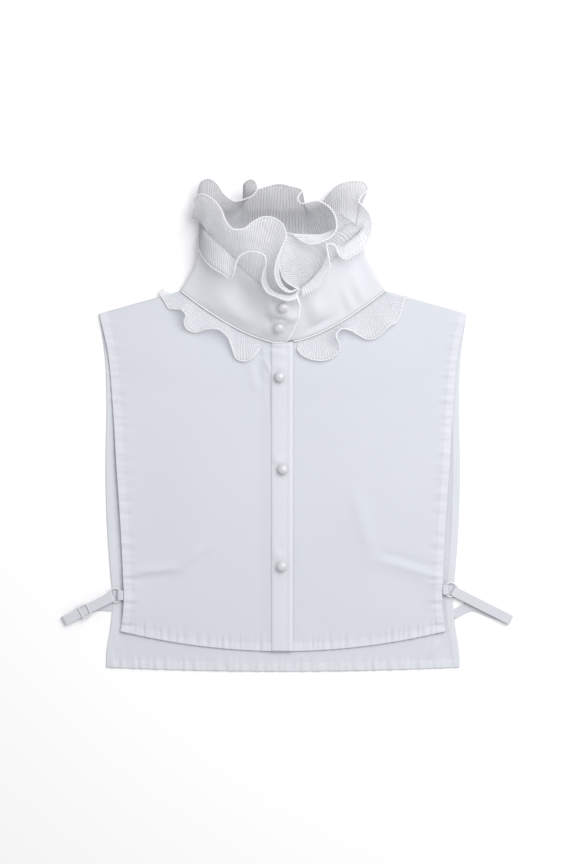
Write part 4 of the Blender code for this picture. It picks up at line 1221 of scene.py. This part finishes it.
def add_rim_ruffle(name, folds, out, height, rows, node):
    """A ruffle on the collar's rim."""
    count, path = pleated_path(folds)
    turns = path[:, 0]
    _, up, _ = collar_frame(turns, 1.0)
    roots = collar_surface(turns, np.ones(len(turns)), out) + up * RIM_GAP
    grid = ribs(roots, up, path[:, 1:], height, rows)
    grid[..., 2] = np.maximum(grid[..., 2], PLEAT_DEPTH + ORGANZA)
    rise = np.linspace(0, 1, rows)[:, None]
    # Painted light near the root, where the collar's hollow is in shade, on top of the painted shade round
    # the rim.
    root_painted_light = ROOT_PAINTED_LIGHT * (1 - ease(rise / ROOT_PAINTED_LIGHT_RISE))
    painted_light = np.minimum(np.interp(turns, PAINTED_LIGHT_TURNS, PAINTED_LIGHT_LEVELS) + root_painted_light, 1.0)
    full = 1 - FLATTENED * np.exp(-(((turns - FLAT_TURN) / FLAT_REACH) ** 2))
    sides = grid_normals(grid)
    add_ruffle(name, grid, sides, count, PLEAT_DEPTH, node, painted_light, full)


for word, folds, out, height, rows, flat in (
    ("upper", UPPER_FOLDS, -RUFFLE_SPACING, UPPER_RUFFLE_HEIGHT, UPPER_ROWS, (0.75, 0.058)),
    ("lower", LOWER_FOLDS, RUFFLE_SPACING, LOWER_RUFFLE_HEIGHT, LOWER_ROWS, (0.67, 0.036)),
):
    add_rim_ruffle(f"{word}_ruffle", folds, out, height, rows, f"ruffle_{word}")

# Neck ruffle: one narrower strip of the same pleated organza, caught in the seam where the collar
# joins the body. It waves over the fronts, and its stretch behind is pressed flat under the back.
NECK_RUFFLE_HEIGHT = 30.0
NECK_RUFFLE_ROOT = 1.8
NECK_RUFFLE_ROWS = 10
NECK_PLEAT_DEPTH = 0.42
# A slight painted shade on the neck ruffle's colour.
NECK_PAINTED_LIGHT = 0.97
NECK_FULLNESS = 0.75
NECK_OVER_CREASES = 0.5
BACK_RUFFLE_WAVES = 9
BACK_RUFFLE_WAVE = 2.5
BACK_RUFFLE_TURNS = (94.0, 266.0)
BACK_RUFFLE_PLEATS = 84
BACK_RUFFLE_ROWS = 6
BACK_RUFFLE_Z = 0.6
BACK_PLEAT_DEPTH = 0.2
NECK_FOLDS_RIGHT = (
    Fold(15, -22, 77, 6),
    Fold(16, -25, 73, 7),
    Fold(18, -29, 68, 9),
    Fold(21, -37, 63, 8),
    Fold(25, -46, 65, 7),
    Fold(28, -51, 76, 10),
    Fold(31, -56, 88, 14),
    Fold(35, -65, 95, 17),
    Fold(40, -76, 95, 14),
    Fold(46, -88, 92, 8),
    Fold(51, -96, 95, 9),
    Fold(56, -99, 103, 14),
    Fold(60, -97, 109, 18),
    Fold(64, -101, 114, 16),
    Fold(68, -107, 115, 9),
    Fold(73, -114, 116, 6),
    Fold(79, -119, 124, 6),
    Fold(85, -123, 131, 5),
    Fold(90, -119, 136, 5),
)
NECK_FOLDS_LEFT = (
    Fold(-8, 14, 76, 6),
    Fold(-12, 17, 71, 8),
    Fold(-15, 23, 67, 8),
    Fold(-18, 32, 64, 8),
    Fold(-21, 42, 64, 8),
    Fold(-24, 50, 67, 8),
    Fold(-27, 56, 73, 10),
    Fold(-30, 56, 81, 14),
    Fold(-33, 53, 89, 18),
    Fold(-36, 58, 95, 18),
    Fold(-39, 67, 94, 14),
    Fold(-43, 76, 89, 9),
    Fold(-47, 84, 85, 8),
    Fold(-51, 92, 86, 8),
    Fold(-56, 99, 91, 10),
    Fold(-61, 106, 98, 12),
    Fold(-66, 113, 102, 10),
    Fold(-71, 117, 109, 8),
    Fold(-76, 119, 116, 7),
    Fold(-81, 121, 123, 6),
    Fold(-86, 126, 128, 5),
    Fold(-90, 127, 130, 5),
)


def add_neck_ruffle(name, folds, over, node):
    """A ruffle in the neck seam, lying on a front."""
    count, path = pleated_path(folds)
    turns = path[:, 0]
    plan = neck_line(turns, NECK_RUFFLE_ROOT)
    directions = raised(unit(plan - neck_line(turns, 0.0)), 0 * turns)
    roots = raised(plan, front_top(plan[:, 0], plan[:, 1], over) + LAYER - CLOTH / 2)
    grid = ribs(roots, directions, path[:, 1:], NECK_RUFFLE_HEIGHT, NECK_RUFFLE_ROWS)
    x, y = grid[..., 0], grid[..., 1]
    creased = NECK_OVER_CREASES * creases_at(x, y, FRONT_CREASES)
    grid[..., 2] = np.maximum(grid[..., 2], front_top(x, y, over) + LAYER - CLOTH / 2 + creased)
    sides = grid_normals(grid)
    depth, painted_light, full = NECK_PLEAT_DEPTH, NECK_PAINTED_LIGHT, NECK_FULLNESS
    add_ruffle(name, grid, sides, count, depth, node, painted_light, full)


def add_back_neck_ruffle():
    """The stretch of the neck ruffle that is pressed flat under the back."""
    turns = np.linspace(*BACK_RUFFLE_TURNS, BACK_RUFFLE_PLEATS * PLEAT_STEPS + 1)
    waves = BACK_RUFFLE_WAVE * np.sin(np.radians(turns * BACK_RUFFLE_WAVES * 2))
    share = np.linspace(0, 1, BACK_RUFFLE_ROWS)[:, None, None]
    down = np.stack([0 * turns, -(NECK_RUFFLE_HEIGHT + waves)], axis=1)
    plan = neck_line(turns, NECK_GAP) + share * down
    grid = raised(plan, np.full(plan.shape[:2], BACK_RUFFLE_Z))
    upright = np.broadcast_to([0.0, 0.0, 1.0], grid.shape)
    add_ruffle(
        "neck_frill_back",
        grid,
        upright,
        BACK_RUFFLE_PLEATS,
        BACK_PLEAT_DEPTH,
        "neck_ruffle_back",
    )


for word, folds, over, flat in (
    ("right", NECK_FOLDS_RIGHT, 1, (0.178, 0.0225)),
    ("left", NECK_FOLDS_LEFT, 0, (0.185, 0.025)),
):
    add_neck_ruffle(f"neck_frill_{word}", folds, over, f"neck_ruffle_{word}")
add_back_neck_ruffle()

# Piping: a cord covered in white satin, sewn into the neck seam between the collar and the neck
# ruffle on each side of the opening.
PIPING_RADIUS = 0.85
PIPING_OUT = 1.35
PIPING_UP = 1.95
PIPING_POINTS = 120
PIPING_SIDES = 14
RIGHT_PIPING = (-0.6, 88.0)
LEFT_PIPING = (-6.0, -88.0)
SATIN_COLOUR = (0.70, 0.71, 0.74)
SATIN_ROUGHNESS = 0.5
CRINKLE_SCALE = 900.0
CRINKLE_DEPTH = 0.2


def crinkled_satin():
    """White satin, finely crinkled where it is drawn round the cord."""
    material, shader = plain_shader("piping_satin", SATIN_COLOUR, SATIN_ROUGHNESS)
    tree = material.node_tree
    crinkle = noise_node(tree, CRINKLE_SCALE, 2.0)
    tree.links.new(bump_node(tree, crinkle, CRINKLE_DEPTH * MM, 0.4), shader.inputs["Normal"])
    shader.inputs["Sheen Weight"].default_value = 0.1
    return material


satin = crinkled_satin()
for word, ends in (("right", RIGHT_PIPING), ("left", LEFT_PIPING)):
    turns = np.linspace(*ends, PIPING_POINTS)
    over = turns > RIGHT_PIPING[0] - 1
    plan = neck_line(turns, PIPING_OUT, over * BAND_GAP * lapped(neck_line(turns, 0.0)[:, 0]))
    line = raised(plan, front_top(plan[:, 0], plan[:, 1], over) + PIPING_UP)
    cord = laid_cord(f"piping_cord_{word}", line, PIPING_RADIUS, PIPING_SIDES, satin)
    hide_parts(f"piping_{word}")

# Buttons: five moulded pearl-white domes with a shank, two on the collar's lap and three down the
# band, each sewn on through its shank with a few turns of thread.
BUTTON_DIAMETER = 10.5
BUTTON_HEIGHT = 7.0
BUTTON_SIDES = 48
BUTTON_LEVELS = 18
BUTTON_TUCK = -52.0
BUTTON_WAIST = 0.44
BUTTON_EDGE_ANGLE = 50
SHANK_RADIUS = 1.7
SHANK_HEIGHT = 1.0
PEARL_COLOUR = (0.60, 0.60, 0.63)
PEARL_DARK = (0.52, 0.52, 0.56)
PEARL_PALE = (0.66, 0.66, 0.68)
PEARL_SCALE = 260.0
OverButton = namedtuple("OverButton", "turn rise")
COLLAR_BUTTONS = (OverButton(-0.4, 0.83), OverButton(2.3, 0.36))
BandButton = namedtuple("BandButton", "x y")
BAND_BUTTONS = (BandButton(-3, 47), BandButton(0, -45), BandButton(-1, -142))


def turned(name, profile, sides):
    """A closed mesh turned about Z from a profile of radii and heights, both ends on the axis."""
    angles = np.linspace(0, 2 * np.pi, sides, endpoint=False)
    rings = [points_of(r * np.cos(angles), r * np.sin(angles), height) for r, height in profile[1:-1]]
    poles = [(0, 0, profile[0][1]), (0, 0, profile[-1][1])]
    points = np.concatenate([*rings, poles])
    faces = []
    for level in range(len(rings) - 1):
        for side in range(sides):
            here = level * sides + side
            after = level * sides + (side + 1) % sides
            faces.append((here, after, after + sides, here + sides))
    last = (len(rings) - 1) * sides
    for side in range(sides):
        faces.append((len(points) - 2, (side + 1) % sides, side))
        faces.append((len(points) - 1, last + side, last + (side + 1) % sides))
    mesh = bpy.data.meshes.new(name)
    mesh.from_pydata((points * MM).tolist(), [], faces)
    mesh.shade_smooth()
    mesh.set_sharp_from_angle(angle=np.radians(BUTTON_EDGE_ANGLE))
    return mesh


def pearl_white():
    """Moulded pearl plastic: a soft cloudy white under a glossy skin."""
    material, shader = plain_shader("pearl_button", PEARL_COLOUR, 0.28)
    tree = material.node_tree
    swirl = mixed_colour(tree, noise_node(tree, PEARL_SCALE, 2.0), PEARL_DARK, PEARL_PALE)
    tree.links.new(swirl, shader.inputs["Base Color"])
    shader.inputs["Coat Weight"].default_value = 0.6
    shader.inputs["Coat Roughness"].default_value = 0.12
    return material


pearl = pearl_white()
waist = SHANK_HEIGHT + BUTTON_HEIGHT * BUTTON_WAIST
profile = [(0.0, 0.0), (SHANK_RADIUS, 0.0), (SHANK_RADIUS, SHANK_HEIGHT)]
for angle in np.radians(np.linspace(BUTTON_TUCK, 90, BUTTON_LEVELS)):
    height = waist + BUTTON_HEIGHT * (1 - BUTTON_WAIST) * np.sin(angle)
    profile.append((BUTTON_DIAMETER / 2 * np.cos(angle), height))
profile[-1] = (0.0, profile[-1][1])

seats = []
for button in COLLAR_BUTTONS:
    turn = np.array([float(button.turn)])
    seat = collar_surface(turn, np.array([button.rise]), COLLAR_CLOTH / 2 + SEAM_GAP)
    seats.append((seat[0], collar_frame(turn, button.rise)[2][0]))
for button in BAND_BUTTONS:
    top = front_top(np.array(button.x), np.array(button.y), 1) + LAYER + SEAM_GAP
    seats.append((np.array([button.x, button.y, float(top)]), np.array([0.0, 0.0, 1.0])))
for number, (place, axis) in enumerate(seats, start=1):
    mesh = turned(f"button_{number}_shape", profile, BUTTON_SIDES)
    lean = Vector((0, 0, 1)).rotation_difference(Vector(axis)).to_matrix().to_4x4()
    mesh.transform(Matrix.Translation(Vector(place * MM)) @ lean)
    button = show(f"pearl_button_{number}", mesh, pearl)
    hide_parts(f"button_{number}")

# Stitching: white sewing thread. The hems and the band are topstitched, and the band's three holes
# are worked in close bars of the same thread. Each stitch is a short bead that lies on the cloth.
STITCH_PITCH = 2.7
STITCH_LENGTH = 1.9
STITCH_LIFT = 0.05
THREAD_RADIUS = 0.19
HEM_STITCH = 6.6
SEAM_POINTS = 160
BAND_SEAM_POINTS = 200
# A row of stitches along the band: how far across it lies, and how far above the band's own top.
BandSeam = namedtuple("BandSeam", "x lift")
BAND_SEAMS = (BandSeam(7.6, 0.14), BandSeam(-10.9, -0.1))
HOLE_LENGTH = 14.0
HOLE_LIP = 0.55
BAR_PITCH = 0.42
BAR_LENGTH = 1.0


def stitch_tree():
    """Sets a thread bead at every point, turned along the point's heading."""
    tree, given = new_tree(
        "sew_stitches",
        (
            ("Length", "NodeSocketFloat"),
            ("Thickness", "NodeSocketFloat"),
            ("Material", "NodeSocketMaterial"),
        ),
    )
    bead = tree.nodes.new("GeometryNodeMeshIcoSphere")
    bead.inputs["Radius"].default_value = 1.0
    bead.inputs["Subdivisions"].default_value = 1
    size = tree.nodes.new("ShaderNodeCombineXYZ")
    turn = tree.nodes.new("FunctionNodeAlignRotationToVector")
    turn.axis = "X"
    place = tree.nodes.new("GeometryNodeInstanceOnPoints")
    link_all(
        tree,
        (
            (math_node(tree, "MULTIPLY", given["Length"], 0.5), size.inputs["X"]),
            (given["Thickness"], size.inputs["Y"]),
            (given["Thickness"], size.inputs["Z"]),
            (attribute_of(tree, "heading", "FLOAT_VECTOR"), turn.inputs["Vector"]),
            (given["Geometry"], place.inputs["Points"]),
            (bead.outputs["Mesh"], place.inputs["Instance"]),
            (turn.outputs["Rotation"], place.inputs["Rotation"]),
            (size.outputs["Vector"], place.inputs["Scale"]),
        ),
    )
    end_tree(tree, place.outputs["Instances"], given["Material"])
    return tree


def sew(name, places, headings, length):
    """Stitches at the places, each along its heading."""
    mesh = bpy.data.meshes.new(name + "_points")
    mesh.from_pydata((places * MM).tolist(), [], [])
    field = mesh.attributes.new("heading", "FLOAT_VECTOR", "POINT")
    field.data.foreach_set("vector", unit(headings).reshape(-1).astype(np.float32))
    values = {"Length": length * MM, "Thickness": THREAD_RADIUS * MM, "Material": sewing_thread}
    made = grown(name, mesh, sew_stitches, values)
    made.shade_smooth()
    show(name, made)


def topstitch(name, lines):
    """Rows of even stitches along lines of points."""
    places, headings = [], []
    for line in lines:
        along = distances(line)
        even = np.arange(STITCH_PITCH, along[-1] - STITCH_PITCH / 2, STITCH_PITCH)
        row = np.stack([np.interp(even, along, column) for column in line.T], axis=1)
        places.append(row)
        headings.append(np.gradient(row, axis=0))
    sew(name, np.concatenate(places), np.concatenate(headings), STITCH_LENGTH)


def panel_seams(side_rows, hem_rule, surface, side, inner_x):
    """The lines of a panel's side and hem stitching, on its surface."""
    ys = np.linspace(side_rows[0].y + HEM_STITCH, SHOULDER_CORNER[1] - 1.0, SEAM_POINTS)
    down = np.stack([side * (side_x(side_rows, ys) - HEM_STITCH), ys], axis=1)
    xs = np.linspace(inner_x, side * (side_rows[0].x - HEM_STITCH), SEAM_POINTS)
    along = np.stack([xs, hem_rule(xs) + HEM_STITCH], axis=1)
    return [raised(line, surface(line[:, 0], line[:, 1]) + STITCH_LIFT) for line in (down, along)]


sewing_thread = thread_white("sewing_thread", (0.74, 0.75, 0.78), 0.3)
sew_stitches = stitch_tree()
for word, side, inner in (("right", -1, BAND_EDGE), ("left", 1, -FRONT_EDGE)):
    over = float(side < 0)
    lines = panel_seams(FRONT_SIDE, front_hem_y, lambda x, y: front_surface(x, y, over), side, inner)
    topstitch(f"front_stitches_{word}", lines)
    lines = panel_seams(BACK_SIDE, back_hem_y, lambda x, y: back_height(x, y) + HEM_CLOTH, side, 0.0)
    topstitch(f"back_stitches_{word}", lines)

plan = band_plan([seam.x for seam in BAND_SEAMS], BAND_SEAM_POINTS)
heights = band_height(plan[..., 0], plan[..., 1]) + np.array([seam.lift for seam in BAND_SEAMS])
rows = raised(plan, heights)
topstitch("band_stitches", [rows[:, column] for column in range(len(BAND_SEAMS))])

places = []
for button in BAND_BUTTONS:
    for step in np.arange(-HOLE_LENGTH / 2, HOLE_LENGTH / 2 + 0.1, BAR_PITCH):
        for lip in (-HOLE_LIP, HOLE_LIP):
            x, y = button.x + lip, button.y + step
            places.append((x, y, float(band_height(np.array(x), np.array(y))) + STITCH_LIFT))
places = np.array(places)
sew("buttonhole_bars", places, np.broadcast_to([1.0, 0.0, 0.0], places.shape), BAR_LENGTH)

# Straps: a narrow woven elastic at each side, looped through a plastic ring that a short tab holds to
# the front's edge, and sewn to the back's edge. A slider on the wearer's right strap sets its length.
STRAP_WIDTH = 9.6
STRAP_TURN = 1.55
STRAP_IN_RING = 2.35
STRAP_TURN_POINTS = 17
STRAP_HOME_POINTS = 20
STRAP_STEP = 2.0
RING_RADIUS = 6.9
RING_WIRE = 0.75
RING_HEIGHT = 3.35
TAB_RING_SIDE = 5.0
TAB_UNDER = 12.0
TAB_OVER = 8.1
ELASTIC = 1.0
ELASTIC_COLOUR = (0.58, 0.59, 0.64)
ELASTIC_THICK_COLOUR = (0.60, 0.61, 0.655)
ELASTIC_THREAD = 0.55
RIB_COUNT = 9
RIB_DEPTH = 0.09
SELVEDGE = 0.25
RING_SEGMENTS = 64
WIRE_SEGMENTS = 16
# A strap's ring, the outer fold of its loop, the bend of its way home, its seam at the back's edge
# and how far from the ring its free end reaches.
Strap = namedtuple("Strap", "ring_x ring_y fold_x fold_y bend_x bend_y seam_x seam_y return_end")
RIGHT_STRAP = Strap(-167.5, -171, -219, -197, -187, -182.5, -169.4, -182.5, 34.0)
LEFT_STRAP = Strap(167.5, -165.5, 227.5, -195.8, 189, -182.5, 169.8, -190.9, 22.0)


def half_turn(centre, height, radius, way):
    """Distances and heights of a strap's U-turn: it bulges by its radius along the way given."""
    angles = np.linspace(-90, 90, STRAP_TURN_POINTS)
    along = centre + way * radius * np.cos(np.radians(angles))
    return np.stack([along, height + radius * np.sin(np.radians(angles))], axis=1)


def filled(route, spacing):
    """A route with points added so that none are further apart than the spacing."""
    parts = []
    for start, end in zip(route, route[1:]):
        steps = max(1, int(np.ceil(np.linalg.norm(end - start) / spacing)))
        parts.append(start + (end - start) * np.linspace(0, 1, steps, endpoint=False)[:, None])
    return np.concatenate([*parts, route[-1:]])


def add_elastic(name, route, across, node, ring):
    """A piece of elastic about a route, its width along the directions given, with ribs along it."""
    columns = np.linspace(-1, 1, 4 * RIB_COUNT + 1)
    grid = route[None] + across[None] * STRAP_WIDTH / 2 * columns[:, None, None]
    normals = grid_normals(grid)
    swell = RIB_DEPTH * np.cos(columns * np.pi * RIB_COUNT)
    inside = np.abs(columns) < 0.99
    half = np.where(inside, ELASTIC / 2 - RIB_DEPTH + swell, SELVEDGE)[:, None, None]
    folds_and_highlight = np.ones(grid.shape[:2])
    mesh = wall_mesh(name, grid - normals * half, grid + normals * half, cloth_uv(grid), {"folds_and_highlight": folds_and_highlight})
    strap = show(name, mesh, elastic)
    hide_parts(node)


def strap_route(strap):
    """A strap's middle line: back through the ring, out to its fold and in again to the back."""
    ring = np.array([strap.ring_x, strap.ring_y])
    fold = np.array([strap.fold_x, strap.fold_y])
    seam = np.array([strap.seam_x, strap.seam_y])
    length = np.linalg.norm(fold - ring)
    out = unit(fold - ring)
    low = RING_HEIGHT - STRAP_TURN
    high = RING_HEIGHT + STRAP_TURN
    start = np.array([[strap.return_end, low], [STRAP_IN_RING + STRAP_TURN + 1, low]])
    inner = half_turn(STRAP_IN_RING + STRAP_TURN, RING_HEIGHT, STRAP_TURN, -1)
    end_radius = (high - CLOTH / 2) / 2
    outer = half_turn(length - end_radius, high - end_radius, end_radius, 1)[::-1]
    upper = np.concatenate([start, inner, outer])
    route = raised(ring + out * upper[:, :1], upper[:, 1])
    bend = np.array([strap.bend_x, strap.bend_y])
    turns = np.stack([route[-1, :2], (route[-1, :2] + bend) / 2, bend, seam])
    turns = raised(turns, np.full(len(turns), CLOTH / 2))
    home = smooth_path(turns, STRAP_HOME_POINTS + 1)
    headings = np.concatenate([np.tile(out, (len(route), 1)), -np.gradient(home[:, :2], axis=0)[1:]])
    route = np.concatenate([route, home[1:]])
    across = raised(unit(np.stack([-headings[:, 1], headings[:, 0]], axis=1)), np.zeros(len(route)))
    fine = filled(np.concatenate([route, across], axis=1), STRAP_STEP)
    return fine[:, :3], unit(fine[:, 3:])


def tab_route(side, strap):
    """The tab's middle line: folded round the ring, both its ends sewn under the front."""
    low = RING_HEIGHT - STRAP_TURN
    under = np.array([[TAB_UNDER, low], [TAB_RING_SIDE, low]])
    turn = half_turn(STRAP_IN_RING + STRAP_TURN, RING_HEIGHT, STRAP_TURN, -1)
    over = np.array([[TAB_RING_SIDE, RING_HEIGHT + STRAP_TURN], [TAB_OVER, RING_HEIGHT + STRAP_TURN]])
    along = np.concatenate([under, turn, over])
    ring = np.array([strap.ring_x, strap.ring_y])
    route = filled(raised(ring + np.array([-side, 0.0]) * along[:, :1], along[:, 1]), STRAP_STEP)
    return route, np.broadcast_to([0.0, 1.0, 0.0], route.shape)


elastic = woven_cotton("woven_elastic", ELASTIC_COLOUR, ELASTIC_THICK_COLOUR, ELASTIC_THREAD)
plastic, plastic_shader = plain_shader("white_plastic", (0.70, 0.71, 0.73), 0.32)
plastic_shader.inputs["Coat Weight"].default_value = 0.3
for word, side, strap in (("right", -1, RIGHT_STRAP), ("left", 1, LEFT_STRAP)):
    add_elastic(f"elastic_{word}", *strap_route(strap), f"strap_{word}", f"strap_ring_{word}")
    add_elastic(f"ring_tab_{word}", *tab_route(side, strap), f"tab_{word}", f"strap_ring_{word}")
    bpy.ops.mesh.primitive_torus_add(
        location=(strap.ring_x * MM, strap.ring_y * MM, RING_HEIGHT * MM),
        major_radius=RING_RADIUS * MM,
        minor_radius=RING_WIRE * MM,
        major_segments=RING_SEGMENTS,
        minor_segments=WIRE_SEGMENTS,
    )
    shape = bpy.context.active_object
    mesh = shape.data
    mesh.transform(shape.matrix_world)
    mesh.shade_smooth()
    bpy.data.objects.remove(shape)
    ring = show(f"strap_ring_{word}", mesh, plastic)
    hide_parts(f"ring_{word}")
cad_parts["slider_right"].material_slots[0].material = plastic

# The table: a plain pale floor under one soft lamp and an even sky, seen from straight above as in
# the photo. The sizes and places of this section are in metres.
FLOOR_SIZE = 8.0
FLOOR_Z = -0.0002
FLOOR_COLOUR = (0.93, 0.93, 0.94)
LAMP_PLACE = (0.55, 0.5, 1.3)
LAMP_SIZE = 1.2
LAMP_POWER = 19.0
SKY_STRENGTH = 0.6
CAMERA_PLACE = (0.005, -0.008, 3.0)
LENS_LENGTH = 125.0
SENSOR_WIDTH = 36.0

floor_material, _ = plain_shader("floor", FLOOR_COLOUR, 0.9)
bpy.ops.mesh.primitive_plane_add(size=FLOOR_SIZE, location=(0, 0, FLOOR_Z))
floor = bpy.context.active_object
floor.name = "floor"
floor.data.materials.append(floor_material)

key = bpy.data.lights.new("key", "AREA")
key.shape = "RECTANGLE"
key.size = LAMP_SIZE
key.size_y = LAMP_SIZE
key.energy = LAMP_POWER
lamp = placed("key", key)
lamp.location = LAMP_PLACE
lamp.rotation_euler = Vector(LAMP_PLACE).to_track_quat("Z", "Y").to_euler()

world = bpy.data.worlds.new("studio")
world.use_nodes = True
world.node_tree.nodes["Background"].inputs["Color"].default_value = (1.0, 1.0, 1.0, 1.0)
world.node_tree.nodes["Background"].inputs["Strength"].default_value = SKY_STRENGTH
bpy.context.scene.world = world
bpy.context.scene.view_settings.view_transform = "Standard"

lens = bpy.data.cameras.new("camera")
lens.lens = LENS_LENGTH
lens.sensor_width = SENSOR_WIDTH
camera = placed("camera", lens)
camera.location = CAMERA_PLACE
bpy.context.scene.camera = camera
